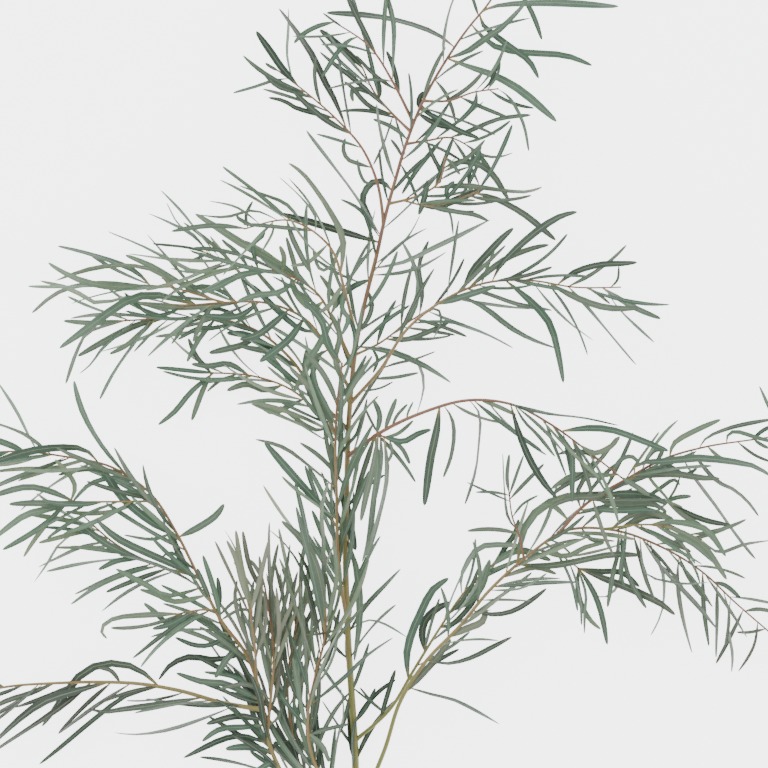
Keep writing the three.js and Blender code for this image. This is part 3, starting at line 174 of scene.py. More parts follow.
def twig(radii, heights, *route):
    return {"radii": radii, "heights": heights, "route": route}


def leaf(width, *route):
    return {"width": width, "route": route, "rests": False, "dark": False}


def resting_leaf(width, *route):
    return {"width": width, "route": route, "rests": True, "dark": False}


# A leaf marked dark gets a lower tone: partly its own darker colour, partly painted shade.
def dark(shape):
    return {**shape, "dark": True}


def small(gap, bare, lengths, splay, sides=(1, -1), widths=USUAL_WIDTHS):
    return {"gap": gap, "bare": bare, "lengths": lengths, "splay": splay, "sides": sides,
            "widths": widths}


def add_shoot(name, on, twigs, leaves, small, extra=()):
    SHOOTS[name] = {"on": on, "twigs": twigs, "leaves": leaves, "extra": extra, "small": small}
    print(name, "on", on, "twigs:", len(twigs), "marked leaves:", len(leaves) + len(extra))


print("words:", [word.__name__ for word in (twig, leaf, resting_leaf, dark, small, add_shoot)])

# %% [markdown]
# ## The main stem
# The woody leader runs from the cut end to its tip. Its first points lie on the surface, and their
# height follows from its thickness. Some leaves grow straight on it, from its foot to its tip.

# %% Main stem: route from the cut end to the tip, and the leaves straight on it
STEM_RADII = (4.2, 1.0)
STEM_SIDES = 8
STEM_REST_POINTS = 3
STEM_ROUTE = [
    (-27, -462, 0), (-26, -400, 0), (-25, -340, 0), (-24, -268, 8), (-26, -225, 12),
    (-30, -162, 20), (-32, -117, 26), (-33, -67, 32), (-32, -27, 37), (-31, 18, 42),
    (-29, 58, 46), (-24, 108, 50), (-15, 153, 53), (-5, 193, 55), (3, 229, 56), (13, 265, 57),
    (21, 292, 57), (34, 326, 56), (49, 355, 54), (66, 382, 52), (79, 400, 50), (94, 418, 47),
    (106, 436, 43), (118, 452, 39),
]
STEM_LEAVES = [
    dark(leaf(5.5, (66, 381), (48, 393), (20, 403), (-10, 409), (-50, 412))),
    leaf(3, (88, 409), (84, 418), (79, 432)),
    leaf(6, (90, 411), (100, 418), (125, 421), (165, 421), (213, 418)),
    leaf(6, (89, 410), (91, 401), (101, 392), (117, 380), (132, 369), (141, 353)),
    resting_leaf(6, (81, 400), (91, 390), (105, 381), (130, 377), (165, 375), (190, 366)),
    leaf(5.5, (62, 369), (78, 378), (93, 389), (108, 399), (130, 422)),
    leaf(7, (63, 368), (80, 362), (100, 355), (125, 341), (157, 314)),
    leaf(4.5, (110, 441), (126, 428), (137, 408), (144, 388)),
    leaf(4, (112, 444), (122, 452), (140, 458)),
    leaf(4, (117, 452), (112, 458), (104, 463)),
    leaf(3.5, (50, 351), (57, 340), (63, 326), (66, 313)),
    leaf(5, (44, 339), (36, 339), (33, 331), (37, 325), (45, 321)),
    leaf(5.5, (41, 323), (55, 314), (68, 306), (87, 299)),
    leaf(5, (36, 320), (48, 312), (64, 308)),
    leaf(4, (29, 296), (15, 305), (5, 311), (-8, 316)),
    leaf(3, (19, 281), (14, 290), (8, 298)),
    leaf(3, (19, 276), (26, 259), (33, 240)),
    leaf(6, (11, 252), (0, 260), (-9, 259), (-16, 250), (-17, 240), (-9, 226)),
    leaf(3, (-1, 208), (-19, 234), (-37, 244)),
    dark(leaf(6.5, (-5, 205), (-30, 213), (-60, 222), (-92, 231))),
    leaf(4.5, (-8, 181), (20, 187), (45, 199), (72, 212), (98, 226)),
    leaf(3, (-9, 175), (15, 178), (35, 184), (58, 197)),
    leaf(5.5, (-10, 172), (-25, 166), (-36, 157), (-42, 146)),
    dark(leaf(4.5, (-13, 163), (-9, 150), (-12, 138), (-19, 127))),
    leaf(5, (-22, 111), (0, 108), (15, 104), (38, 94), (62, 79)),
    leaf(8, (-32, -2), (-34, -20), (-30, -45), (-24, -72)),
    leaf(6, (-33, -60), (-24, -82), (-20, -110), (-20, -140), (-25, -172)),
    dark(leaf(4, (-30, -148), (-14, -122), (2, -105), (17, -89))),
    leaf(3, (-29, -172), (-42, -160), (-50, -145), (-52, -128)),
    leaf(4, (-27, -200), (-33, -222), (-40, -240)),
    leaf(4, (-26, -228), (-14, -214), (-6, -197)),
]

STEM_EXTRA = [
    leaf(2.2, (-21, 124), (-12, 131), (5, 142), (20, 151)),
    leaf(2.5, (41, 324), (58, 320), (78, 313), (102, 302)),
    leaf(2.2, (-3, 212), (-20, 243), (-42, 273), (-68, 306)),
    leaf(2.2, (-6, 186), (10, 198), (24, 212), (34, 230)),
    leaf(2.5, (-17, 168), (-40, 178), (-62, 192)),
    leaf(2, (-30, -146), (-14, -136), (2, -139), (24, -152)),
    leaf(2.2, (-26, -195), (-15, -205), (2, -219)),
    dark(leaf(3.5, (-25, -266), (-29, -248), (-30, -226), (-29, -203))),
]

STEM_SMALL = small(18, (0.2, 0.08), (46, 76), 26)
print("leaves marked straight on the stem:", len(STEM_LEAVES) + len(STEM_EXTRA))

# %% [markdown]
# ## The shoots at the top
# Six short shoots leave the upper stem, three to the left and three to the right. Their twigs are
# thin, bare at the foot and most of them red-brown, and their leaves are dark. Each shoot is one
# node of the frame, so each has a cell of its own.

# %% Shoot top left
add_shoot(
    "shoot_top_left", on="main_stem",
    twigs=[
        twig((1.6, 0.7), (78, 72), (31, 311), (25, 318), (20, 328), (14, 341), (8, 352), (0, 362),
            (-6, 371), (-12, 382), (-20, 390), (-28, 398), (-43, 403)),
    ],
    leaves=[
        leaf(4.5, (-42, 403), (-58, 399), (-71, 392), (-79, 384)),
        leaf(5, (-6, 373), (-12, 386), (-19, 400), (-27, 417), (-35, 436)),
        leaf(4.5, (14, 338), (13, 352), (9, 366), (4, 377)),
        leaf(4, (9, 350), (11, 378), (11, 400), (7, 418), (2, 436)),
        leaf(3, (9, 350), (-8, 351), (-26, 348), (-48, 343)),
        leaf(4.5, (-20, 390), (-31, 385), (-41, 374), (-48, 363), (-54, 353)),
    ],
    extra=[
        leaf(2.2, (-33, 400), (-45, 405), (-53, 411)),
    ],
    small=small(19, (0.3, 0.08), (40, 70), 30),
)

# %% Shoot top inner
add_shoot(
    "shoot_top_inner", on="main_stem",
    twigs=[
        twig((1.5, 0.8), (44, 38), (29, 303), (20, 312), (11, 320), (2, 328), (-5, 337),
            (-11, 349), (-18, 364)),
    ],
    leaves=[
        dark(leaf(4.5, (6, 324), (-8, 338), (-28, 355), (-44, 367), (-56, 377))),
        dark(leaf(6.5, (-18, 362), (-26, 372), (-39, 383), (-56, 397))),
        leaf(4.5, (10, 321), (-8, 326), (-18, 334), (-26, 344), (-34, 350)),
        leaf(4.5, (-4, 336), (-18, 343), (-27, 342), (-26, 332)),
        leaf(4, (-3, 334), (-2, 345), (-4, 352)),
        leaf(3, (-12, 350), (-27, 368), (-42, 384), (-50, 396)),
    ],
    extra=[
        leaf(2.2, (10, 320), (6, 308), (1, 294), (-8, 275)),
        leaf(2.2, (12, 319), (15, 308), (18, 297), (21, 284)),
    ],
    small=small(20, (0.25, 0.08), (40, 66), 28),
)

# %% Shoot upper left
add_shoot(
    "shoot_upper_left", on="main_stem",
    twigs=[
        twig((1.6, 0.7), (64, 46), (1, 222), (1, 232), (-2, 248), (-5, 262), (-10, 275),
            (-18, 290), (-28, 301), (-38, 313), (-52, 326), (-68, 340), (-82, 352), (-95, 361)),
    ],
    leaves=[
        dark(leaf(5.5, (-28, 301), (-46, 312), (-62, 324), (-80, 341))),
        dark(leaf(6.5, (-76, 346), (-90, 362), (-101, 378), (-113, 395))),
        dark(leaf(4.5, (-42, 317), (-60, 321), (-78, 326), (-88, 332), (-102, 335))),
        leaf(4.5, (-62, 335), (-80, 341), (-94, 346), (-107, 358)),
        dark(leaf(3, (-84, 354), (-100, 350), (-115, 345), (-134, 340))),
        dark(leaf(5.5, (-32, 306), (-42, 330), (-53, 351), (-63, 373), (-77, 394), (-93, 416))),
        leaf(3, (-94, 360), (-101, 364), (-105, 367)),
        leaf(4, (-9, 273), (-22, 276), (-31, 280), (-35, 289), (-33, 299)),
        leaf(3, (-5, 262), (-14, 258), (-20, 268), (-22, 280)),
    ],
    extra=[
        leaf(2.5, (-80, 350), (-85, 374), (-84, 396), (-84, 417)),
    ],
    small=small(20, (0.4, 0.08), (40, 74), 30),
)

# %% Shoot top right
add_shoot(
    "shoot_top_right", on="main_stem",
    twigs=[
        twig((1.3, 0.7), (66, 72), (41, 330), (52, 331), (62, 333), (75, 337), (88, 342),
            (104, 343)),
    ],
    leaves=[
        leaf(2.8, (104, 343), (114, 336), (123, 322), (129, 306), (132, 287)),
        leaf(4.5, (85, 341), (84, 331), (77, 321), (67, 312)),
        leaf(3, (88, 342), (97, 348), (103, 362), (110, 379)),
    ],
    extra=[
        leaf(2.5, (94, 343), (104, 356), (106, 372)),
    ],
    small=small(14, (0.3, 0.08), (40, 62), 34),
)

# %% Shoot right curl
add_shoot(
    "shoot_right_curl", on="main_stem",
    twigs=[
        twig((1.3, 0.7), (50, 44), (23, 294), (34, 295), (45, 298), (56, 300), (68, 298),
            (80, 291)),
    ],
    leaves=[
        leaf(4.5, (78, 292), (88, 283), (98, 271)),
        leaf(4.5, (55, 300), (45, 287), (32, 271), (18, 249)),
        leaf(4, (82, 291), (82, 282), (79, 270), (78, 257)),
        leaf(4.5, (62, 300), (78, 305), (105, 316), (134, 320)),
        leaf(4, (40, 296), (46, 282), (52, 270), (52, 258)),
    ],
    extra=[
        leaf(2.5, (72, 296), (90, 284), (105, 282), (118, 286)),
    ],
    small=small(11, (0.15, 0.08), (40, 62), 34),
)

# %% Shoot right fan
add_shoot(
    "shoot_right_fan", on="main_stem",
    twigs=[
        twig((1.4, 0.8), (60, 72), (8, 240), (22, 243), (36, 249), (46, 253), (52, 261),
            (55, 271), (57, 283)),
        twig((1.0, 0.7), (64, 62), (20, 242), (40, 238), (62, 242), (86, 251)),
    ],
    leaves=[
        leaf(3.5, (57, 282), (63, 276), (70, 266)),
        leaf(6, (55, 272), (70, 278), (85, 276), (99, 267), (114, 243)),
        leaf(4.5, (46, 254), (75, 257), (105, 253), (128, 251), (144, 255)),
        leaf(4.5, (60, 242), (58, 252), (65, 260)),
        leaf(5.5, (37, 250), (40, 260), (38, 245), (33, 230)),
        leaf(6, (82, 250), (100, 245), (128, 230), (156, 207)),
        leaf(4.5, (42, 238), (65, 233), (83, 230), (96, 224)),
        leaf(6.5, (30, 240), (50, 238), (70, 245), (92, 254)),
        leaf(4, (86, 251), (98, 270), (108, 290), (117, 311)),
    ],
    extra=[
        leaf(2.5, (52, 261), (64, 268), (78, 273)),
        leaf(2.2, (57, 242), (62, 228), (64, 212)),
    ],
    small=small(12, (0.2, 0.08), (42, 72), 34),
)
print("shoots so far:", len(SHOOTS))

# %% [markdown]
# ## The shoots at the middle right
# A long shoot fans out to the right, a short one grows below it, and a third rises in an arch and
# hangs down again, so its leaves hang from it one by one.

# %% Shoot mid right
add_shoot(
    "shoot_mid_right", on="main_stem",
    twigs=[
        twig((1.8, 0.7), (76, 52), (-26, 60), (-10, 80), (5, 100), (20, 124), (34, 139),
            (50, 150), (72, 161), (90, 168), (110, 171), (132, 171), (152, 168), (172, 165),
            (190, 164), (215, 165)),
    ],
    leaves=[
        leaf(6, (158, 168), (172, 178), (195, 185), (215, 186), (229, 187)),
        leaf(6.5, (150, 168), (165, 160), (185, 151), (205, 146), (231, 146)),
        resting_leaf(5.5, (198, 164), (212, 156), (230, 146), (252, 137)),
        leaf(3, (184, 164), (194, 159), (205, 150)),
        leaf(7, (110, 170), (128, 156), (143, 142), (152, 128), (158, 105), (163, 79)),
        leaf(3, (168, 166), (182, 151), (205, 124), (229, 95)),
        leaf(4.5, (76, 162), (95, 158), (122, 149), (153, 144)),
        leaf(5, (66, 158), (90, 147), (115, 128), (135, 117), (155, 110)),
        leaf(6.5, (50, 149), (66, 154), (84, 160), (102, 166)),
        leaf(7, (72, 162), (82, 180), (95, 195), (108, 209), (118, 218)),
        leaf(6, (78, 164), (95, 178), (112, 191), (135, 200), (150, 203)),
        leaf(6.5, (98, 171), (107, 184), (122, 200), (142, 217), (160, 228), (175, 232)),
        leaf(4, (99, 171), (114, 172), (132, 176), (153, 183)),
        leaf(3, (88, 168), (95, 184), (101, 198)),
        leaf(3.5, (-8, 83), (12, 84), (33, 88)),
    ],
    extra=[
        leaf(2.2, (134, 170), (150, 152), (168, 134), (190, 117)),
        leaf(2.2, (200, 164), (212, 146), (228, 130), (245, 115)),
        leaf(2.5, (58, 155), (62, 178), (66, 205), (69, 225)),
        leaf(2.5, (206, 164), (212, 172), (213, 184)),
        leaf(2.5, (30, 136), (48, 146), (53, 134), (46, 119)),
        leaf(2.5, (-2, 92), (12, 96), (30, 100), (48, 107)),
        leaf(2.2, (-18, 70), (-2, 74), (10, 80)),
    ],
    small=small(17, (0.25, 0.08), (46, 78), 26),
)

# %% Shoot mid low
add_shoot(
    "shoot_mid_low", on="main_stem",
    twigs=[
        twig((1.3, 0.7), (38, 42), (-24, 104), (-8, 111), (8, 122), (24, 134), (40, 144)),
    ],
    leaves=[
        leaf(5, (8, 121), (22, 134), (31, 155), (31, 178), (18, 206)),
        leaf(4, (34, 140), (36, 160), (33, 185), (42, 207)),
        leaf(5, (4, 119), (22, 118), (42, 125), (60, 133)),
        leaf(3, (18, 129), (40, 126), (66, 122)),
        leaf(3, (40, 144), (65, 133), (92, 123), (118, 110)),
        leaf(3, (-10, 110), (-4, 100), (-8, 88)),
    ],
    extra=[
        leaf(2.5, (-6, 112), (20, 104), (33, 95), (37, 75), (31, 50)),
    ],
    small=small(14, (0.3, 0.08), (42, 68), 34),
)

# %% Shoot arch
add_shoot(
    "shoot_arch", on="main_stem",
    twigs=[
        twig((2.0, 0.8), (98, 84), (-29, 13), (-16, 28), (4, 37), (23, 47), (50, 57), (68, 62),
            (88, 64), (107, 62), (118, 59), (135, 52), (146, 46), (162, 33), (184, 18), (205, 3),
            (216, -7)),
        twig((1.2, 0.8), (64, 66), (-12, 31), (-6, 33), (2, 30), (10, 26)),
    ],
    leaves=[
        dark(leaf(7.5, (52, 57), (49, 35), (43, 8), (38, -31))),
        dark(leaf(3.5, (56, 58), (63, 47), (65, 32), (62, 12), (55, -6))),
        dark(leaf(2.6, (78, 63), (87, 50), (86, 25), (83, 0), (74, -30))),
        leaf(4, (88, 64), (103, 58), (120, 50)),
        dark(leaf(6, (116, 60), (122, 34), (132, 10), (144, -10), (156, -24))),
        dark(leaf(3.2, (118, 59), (128, 44), (140, 32), (155, 13))),
        dark(leaf(2.8, (112, 61), (148, 52), (182, 48), (212, 41))),
        leaf(6.3, (160, 34), (185, 38), (207, 36), (232, 27), (256, 18)),
        leaf(3, (146, 46), (155, 20), (165, -5)),
        leaf(5, (152, 42), (162, 28), (170, 14), (170, -12), (170, -28)),
        leaf(5, (176, 24), (190, 16), (205, 22), (213, 31)),
        leaf(4.5, (170, 28), (178, 10), (184, -6), (188, -22)),
        leaf(4.5, (190, 14), (186, 2), (176, -6), (162, -14), (152, -22)),
        leaf(4, (196, 9), (184, 16), (170, 18), (158, 15)),
        leaf(5.5, (212, -4), (192, -4), (172, -4), (152, -16)),
        leaf(5, (214, -6), (228, -14), (240, -22)),
        leaf(4, (208, 0), (214, 10), (224, 13), (231, 6)),
        leaf(5, (-6, 34), (-2, 50), (-8, 64)),
        leaf(4.5, (2, 37), (7, 50), (13, 65)),
        leaf(3, (8, 40), (14, 50), (23, 60)),
        leaf(5.5, (0, 29), (18, 26), (32, 33), (44, 37)),
        leaf(3.5, (2, 30), (14, 33), (28, 45)),
        leaf(4, (9, 27), (18, 20), (25, 6)),
        leaf(5.5, (-6, 33), (-4, 5), (-8, -25), (-12, -60), (-18, -82)),
        leaf(4.5, (2, 30), (4, 4), (2, -18), (-6, -50), (-14, -78)),
        leaf(5, (-8, 33), (-13, 10), (-20, -12), (-25, -34)),
        leaf(5.5, (-3, 32), (-9, 0), (-15, -25), (-19, -45)),
        leaf(3.5, (-12, 31), (-20, 12), (-24, -4), (-27, -20)),
        leaf(4, (-1, 31), (-1, 12), (-4, -12), (-10, -40)),
        leaf(3, (6, 28), (9, 17), (5, 7)),
    ],
    extra=[
        leaf(2.2, (22, 46), (24, 54), (28, 62)),
        leaf(2.5, (-4, 34), (-11, 47), (-16, 58)),
    ],
    small=small(20, (0.4, 0.08), (46, 78), 34, (-1,)),
)
print("shoots so far:", len(SHOOTS))

# %% [markdown]
# ## The shoots at the lower right
# Two stout shoots leave the stem near its foot and run up to the right side by side. The outer one
# bends over and carries two lesser shoots: a thin upright one, and one that spreads to the right.

# %% Shoot right inner
add_shoot(
    "shoot_right_inner", on="main_stem",
    twigs=[
        twig((1.9, 0.9), (34, 44), (-25, -244), (-8, -230), (6, -217), (23, -189), (43, -157),
            (57, -134), (72, -112), (90, -94), (106, -79)),
    ],
    leaves=[
        dark(leaf(7.5, (24, -188), (22, -165), (27, -145), (36, -125), (45, -108), (60, -97))),
        dark(leaf(7, (38, -164), (36, -148), (39, -135), (49, -125), (62, -119))),
        leaf(4.5, (-2, -224), (4, -205), (12, -180)),
        leaf(4.5, (72, -112), (72, -95), (80, -78), (89, -69), (106, -67), (128, -68)),
        leaf(6.5, (62, -126), (78, -118), (90, -104), (97, -80)),
        leaf(6.5, (98, -87), (108, -79), (121, -72), (135, -74), (152, -81)),
        leaf(5, (104, -81), (112, -68), (120, -56), (123, -44)),
        leaf(5, (52, -142), (64, -138), (78, -124), (88, -110)),
    ],
    extra=[
        leaf(2.5, (4, -219), (-8, -210), (-20, -196)),
    ],
    small=small(11, (0.35, 0.08), (46, 80), 24, (-1, -1, 1)),
)

# %% Shoot right outer
add_shoot(
    "shoot_right_outer", on="main_stem",
    twigs=[
        twig((2.3, 0.8), (62, 24), (-25, -332), (-16, -300), (-4, -268), (3, -250), (16, -209),
            (32, -180), (52, -160), (75, -134), (99, -105), (121, -85), (139, -70), (156, -56),
            (178, -53), (200, -52), (224, -58), (250, -68), (270, -78), (284, -88), (297, -98),
            (310, -110), (324, -125), (337, -139), (352, -148)),
        twig((1.2, 0.7), (66, 60), (200, -52), (216, -49), (234, -49), (252, -49), (270, -54),
            (287, -62)),
        twig((1.2, 0.7), (48, 42), (146, -64), (155, -71), (165, -79), (177, -88)),
    ],
    leaves=[
        dark(leaf(4.2, (42, -171), (60, -174), (80, -169), (98, -160), (117, -150))),
        dark(leaf(5, (82, -126), (100, -129), (118, -126), (135, -116), (148, -106))),
        dark(leaf(3.2, (24, -196), (45, -202), (65, -207), (85, -217), (106, -229))),
        leaf(6.5, (22, -200), (36, -184), (50, -168), (62, -152)),
        leaf(7, (62, -150), (76, -142), (90, -136), (94, -124)),
        leaf(5, (110, -96), (125, -90), (140, -87), (157, -93)),
        leaf(6.5, (122, -84), (150, -86), (175, -82), (205, -76), (232, -76)),
        leaf(5, (140, -70), (165, -77), (182, -69), (200, -65)),
        dark(leaf(4, (100, -104), (125, -102), (150, -100), (178, -100))),
        leaf(8, (122, -84), (128, -52), (142, -34), (162, -24), (190, -22), (222, -21)),
        leaf(5, (176, -88), (176, -105), (180, -122), (188, -135), (197, -143)),
        leaf(3, (176, -87), (183, -110), (182, -130), (182, -147)),
        leaf(5.5, (177, -88), (190, -108), (198, -130), (203, -157)),
        leaf(7, (177, -88), (200, -97), (225, -107), (250, -119), (264, -130)),
        leaf(5.5, (176, -88), (195, -91), (216, -92), (232, -105)),
        leaf(4.5, (212, -54), (212, -75), (208, -92), (203, -123)),
        leaf(4.5, (214, -55), (217, -76), (224, -100), (238, -124)),
        leaf(4.2, (226, -59), (232, -80), (238, -100), (245, -116)),
        dark(leaf(4, (232, -62), (250, -85), (268, -104), (285, -122), (302, -143))),
        leaf(3, (236, -63), (252, -92), (252, -125), (242, -149)),
        dark(leaf(3.6, (268, -77), (266, -100), (270, -128), (279, -164))),
        dark(leaf(4.4, (288, -92), (289, -118), (291, -138), (294, -158))),
        leaf(2.8, (308, -108), (312, -128), (311, -145), (308, -160)),
        dark(resting_leaf(3.8, (324, -126), (318, -143), (310, -160), (302, -175))),
        dark(leaf(3, (337, -140), (336, -155), (330, -168), (321, -181))),
        dark(leaf(4.5, (300, -100), (310, -104), (323, -115))),
        dark(leaf(3, (286, -62), (303, -74), (325, -67), (350, -63))),
        leaf(5, (226, -50), (245, -57), (262, -65), (278, -73)),
        leaf(6, (252, -49), (272, -57), (290, -69), (301, -84), (310, -98)),
        leaf(6, (240, -49), (262, -46), (290, -52), (302, -66), (309, -77)),
        leaf(5, (244, -49), (262, -58), (280, -66), (300, -84)),
        leaf(6, (216, -49), (238, -41), (255, -43)),
        leaf(4, (326, -128), (340, -125), (356, -128)),
        leaf(3, (345, -144), (332, -146), (320, -146)),
        leaf(3.5, (350, -147), (362, -145), (376, -150)),
        leaf(3.5, (352, -148), (356, -160), (352, -174)),
        leaf(4, (178, -53), (188, -62), (200, -64)),
    ],
    extra=[
        leaf(2.5, (97, -108), (122, -106), (136, -100), (148, -92)),
        leaf(2.5, (314, -115), (312, -140), (316, -165), (315, -182)),
        leaf(5.5, (206, -51), (224, -40), (242, -37), (256, -44)),
        leaf(4, (219, -50), (217, -72), (214, -90), (218, -105)),
        leaf(4.5, (236, -49), (258, -50), (278, -61), (293, -74)),
        leaf(2.5, (232, -61), (236, -92), (257, -100), (275, -102), (293, -100)),
        leaf(2.5, (252, -69), (272, -75), (282, -89), (286, -101)),
        leaf(2.2, (243, -65), (246, -100), (243, -126), (249, -152)),
        leaf(2.5, (240, -64), (246, -80), (255, -89), (265, -94)),
        leaf(2.8, (218, -57), (216, -85), (212, -104), (200, -114), (190, -110)),
        leaf(2.2, (150, -61), (160, -66), (172, -77)),
    ],
    small=small(11, (0.35, 0.08), (44, 76), 30, (-1, 1, -1)),
)

# %% Shoot small upright
add_shoot(
    "shoot_small_upright", on="shoot_right_outer",
    twigs=[
        twig((1.1, 0.7), (78, 92), (128, -79), (124, -60), (118, -46), (115, -30), (114, -20)),
    ],
    leaves=[
        leaf(3.5, (114, -20), (112, -5), (114, 15)),
        leaf(2.8, (115, -22), (121, -2), (127, 14)),
    ],
    extra=[
        leaf(2.2, (122, -54), (112, -40), (109, -12), (108, 16)),
        leaf(2.5, (114, -21), (100, -19), (84, -19)),
        leaf(2.2, (115, -28), (96, -19), (76, -10)),
        leaf(2.5, (117, -42), (126, -30), (140, -22)),
    ],
    small=small(40, (0.4, 0.08), (34, 50), 36),
)

# %% Shoot right spread
add_shoot(
    "shoot_right_spread", on="shoot_right_outer",
    twigs=[
        twig((1.6, 0.7), (72, 44), (156, -56), (170, -42), (187, -28), (205, -16), (216, -10),
            (230, -2), (246, 7), (260, 13), (284, 20), (307, 24), (334, 28), (352, 31), (370, 33)),
        twig((1.1, 0.7), (60, 56), (196, -22), (214, -24), (234, -26), (256, -28)),
    ],
    leaves=[
        leaf(5.5, (259, 13), (263, 25), (283, 37), (304, 46)),
        dark(leaf(4, (284, 20), (292, 30), (310, 38), (330, 43), (354, 47))),
        dark(leaf(4, (310, 24), (311, 32), (319, 35), (336, 30), (354, 25))),
        dark(leaf(4, (332, 28), (344, 37), (358, 42))),
        leaf(6.5, (226, -4), (230, 6), (255, 8), (285, 11), (312, 8), (333, 4), (352, -7)),
        leaf(6.5, (218, -9), (240, -4), (265, -3), (285, -6), (303, -7)),
        dark(leaf(4, (278, 18), (298, -8), (315, -17), (328, -28), (338, -41))),
        dark(leaf(5.5, (256, -28), (272, -37), (292, -45), (313, -49))),
        leaf(4.5, (254, -28), (266, -24), (278, -23)),
        leaf(7.5, (200, -22), (218, -21), (238, -22), (256, -30)),
        leaf(6.5, (214, -24), (230, -33), (246, -38), (262, -44)),
        dark(leaf(3, (320, 26), (335, 14), (352, 7))),
        leaf(3.5, (292, 21), (302, 13), (312, 8)),
        leaf(3.5, (370, 33), (360, 42), (350, 54), (340, 76)),
        leaf(3.5, (352, 31), (362, 22), (380, 18)),
        leaf(3.5, (369, 33), (376, 38), (386, 36)),
        leaf(4.5, (250, 9), (262, 2), (272, -4), (283, 2)),
        leaf(5, (246, 7), (252, 18), (244, 18), (236, 8)),
        leaf(4.5, (178, -35), (176, -20), (186, -2), (200, 14), (211, 30)),
        leaf(5.5, (168, -44), (152, -30), (140, -36), (126, -58)),
        leaf(4, (234, -26), (250, -16), (262, -8), (268, -13)),
        leaf(3, (240, -26), (252, -34), (256, -42)),
    ],
    extra=[
        dark(leaf(2.5, (268, 15), (283, -8), (300, -30), (320, -58), (337, -80))),
        leaf(5.5, (192, -25), (206, -30), (226, -31), (243, -30), (256, -37)),
        leaf(5.5, (178, -36), (196, -35), (214, -36), (232, -35), (248, -36)),
        leaf(5.5, (206, -16), (194, -23), (179, -24), (165, -26), (150, -33)),
        leaf(5, (256, -28), (272, -41), (288, -51), (300, -65)),
        leaf(3, (236, 1), (243, -10), (253, -21), (262, -32)),
        leaf(2.5, (256, -28), (263, -18), (268, -6)),
        leaf(4, (190, -26), (196, -48), (202, -64), (208, -76)),
        leaf(3.5, (334, 28), (340, 24), (348, 20)),
    ],
    small=small(9, (0.1, 0.55), (44, 74), 26, (-1, 1, -1)),
)
print("shoots so far:", len(SHOOTS))

# %% [markdown]
# ## The shoots at the upper left
# Five shoots make the dense fan at the left, one above the other, with pale narrow leaves. A sixth
# runs up beside the stem and fills the middle of the branch.

# %% Shoot left high
add_shoot(
    "shoot_left_high", on="main_stem",
    twigs=[
        twig((1.7, 0.7), (90, 76), (-21, 118), (-28, 134), (-33, 160), (-37, 182), (-46, 200),
            (-58, 211), (-72, 220), (-88, 226), (-104, 226), (-124, 217)),
    ],
    leaves=[
        leaf(6, (-36, 178), (-36, 208), (-47, 232), (-60, 252), (-72, 267), (-84, 276)),
        leaf(4, (-80, 224), (-96, 236), (-116, 253), (-143, 273)),
        leaf(3.2, (-68, 218), (-85, 238), (-106, 248), (-128, 256)),
        leaf(5.5, (-86, 226), (-80, 208), (-72, 192), (-64, 178)),
        leaf(5, (-122, 218), (-145, 220), (-166, 219), (-189, 215)),
        leaf(3.2, (-120, 219), (-122, 230), (-116, 242)),
        leaf(4, (-116, 221), (-128, 226), (-130, 230)),
        leaf(4, (-50, 204), (-60, 192), (-68, 186), (-82, 184)),
        leaf(3.5, (-40, 188), (-52, 180), (-58, 184), (-62, 200)),
        leaf(5, (-34, 168), (-46, 150), (-56, 142)),
        leaf(5, (-33, 162), (-36, 146), (-30, 136), (-36, 122)),
    ],
    extra=[
        leaf(2.2, (-60, 213), (-60, 228), (-72, 244), (-92, 263)),
        leaf(2.5, (-100, 226), (-98, 214), (-108, 196)),
        leaf(2.5, (-94, 226), (-115, 234), (-140, 228), (-166, 230)),
        leaf(2.2, (-110, 224), (-130, 236), (-155, 242)),
    ],
    small=small(17, (0.25, 0.08), (44, 76), 28),
)

# %% Shoot left broad
add_shoot(
    "shoot_left_broad", on="main_stem",
    twigs=[
        twig((1.7, 0.7), (66, 58), (-26, 94), (-40, 126), (-54, 154), (-70, 169), (-90, 178),
            (-112, 181), (-130, 184), (-143, 190), (-158, 196)),
    ],
    leaves=[
        leaf(8, (-66, 166), (-92, 184), (-112, 196), (-128, 205), (-148, 218), (-168, 231)),
        leaf(4.5, (-112, 182), (-116, 202), (-107, 211), (-106, 217)),
        leaf(2.8, (-156, 196), (-175, 201), (-206, 204)),
        leaf(3.8, (-140, 189), (-158, 180), (-182, 170), (-212, 162)),
        leaf(3, (-156, 195), (-166, 191), (-174, 187)),
        leaf(3.2, (-130, 184), (-165, 179), (-190, 190), (-216, 203), (-246, 215)),
        leaf(6.5, (-100, 180), (-126, 176), (-146, 166), (-162, 160)),
        leaf(6, (-76, 172), (-92, 160), (-112, 158), (-130, 152)),
        leaf(7, (-54, 152), (-64, 146), (-76, 158), (-82, 172)),
        leaf(6.5, (-44, 134), (-52, 122), (-60, 108), (-70, 94)),
        leaf(5, (-90, 178), (-88, 192), (-92, 202)),
        leaf(5, (-62, 162), (-76, 176), (-80, 190), (-86, 210)),
        leaf(4, (-120, 182), (-130, 196), (-140, 204), (-144, 208)),
        leaf(4.5, (-47, 140), (-42, 152), (-50, 168), (-56, 176)),
        leaf(3, (-134, 186), (-152, 182), (-172, 178), (-190, 182)),
    ],
    extra=[
        leaf(2.2, (-146, 191), (-165, 213), (-180, 232), (-199, 252)),
        leaf(2.4, (-152, 193), (-172, 212), (-190, 222), (-210, 231)),
        leaf(2.4, (-156, 195), (-170, 212), (-184, 222), (-194, 241)),
    ],
    small=small(10, (0.15, 0.08), (54, 92), 20),
)

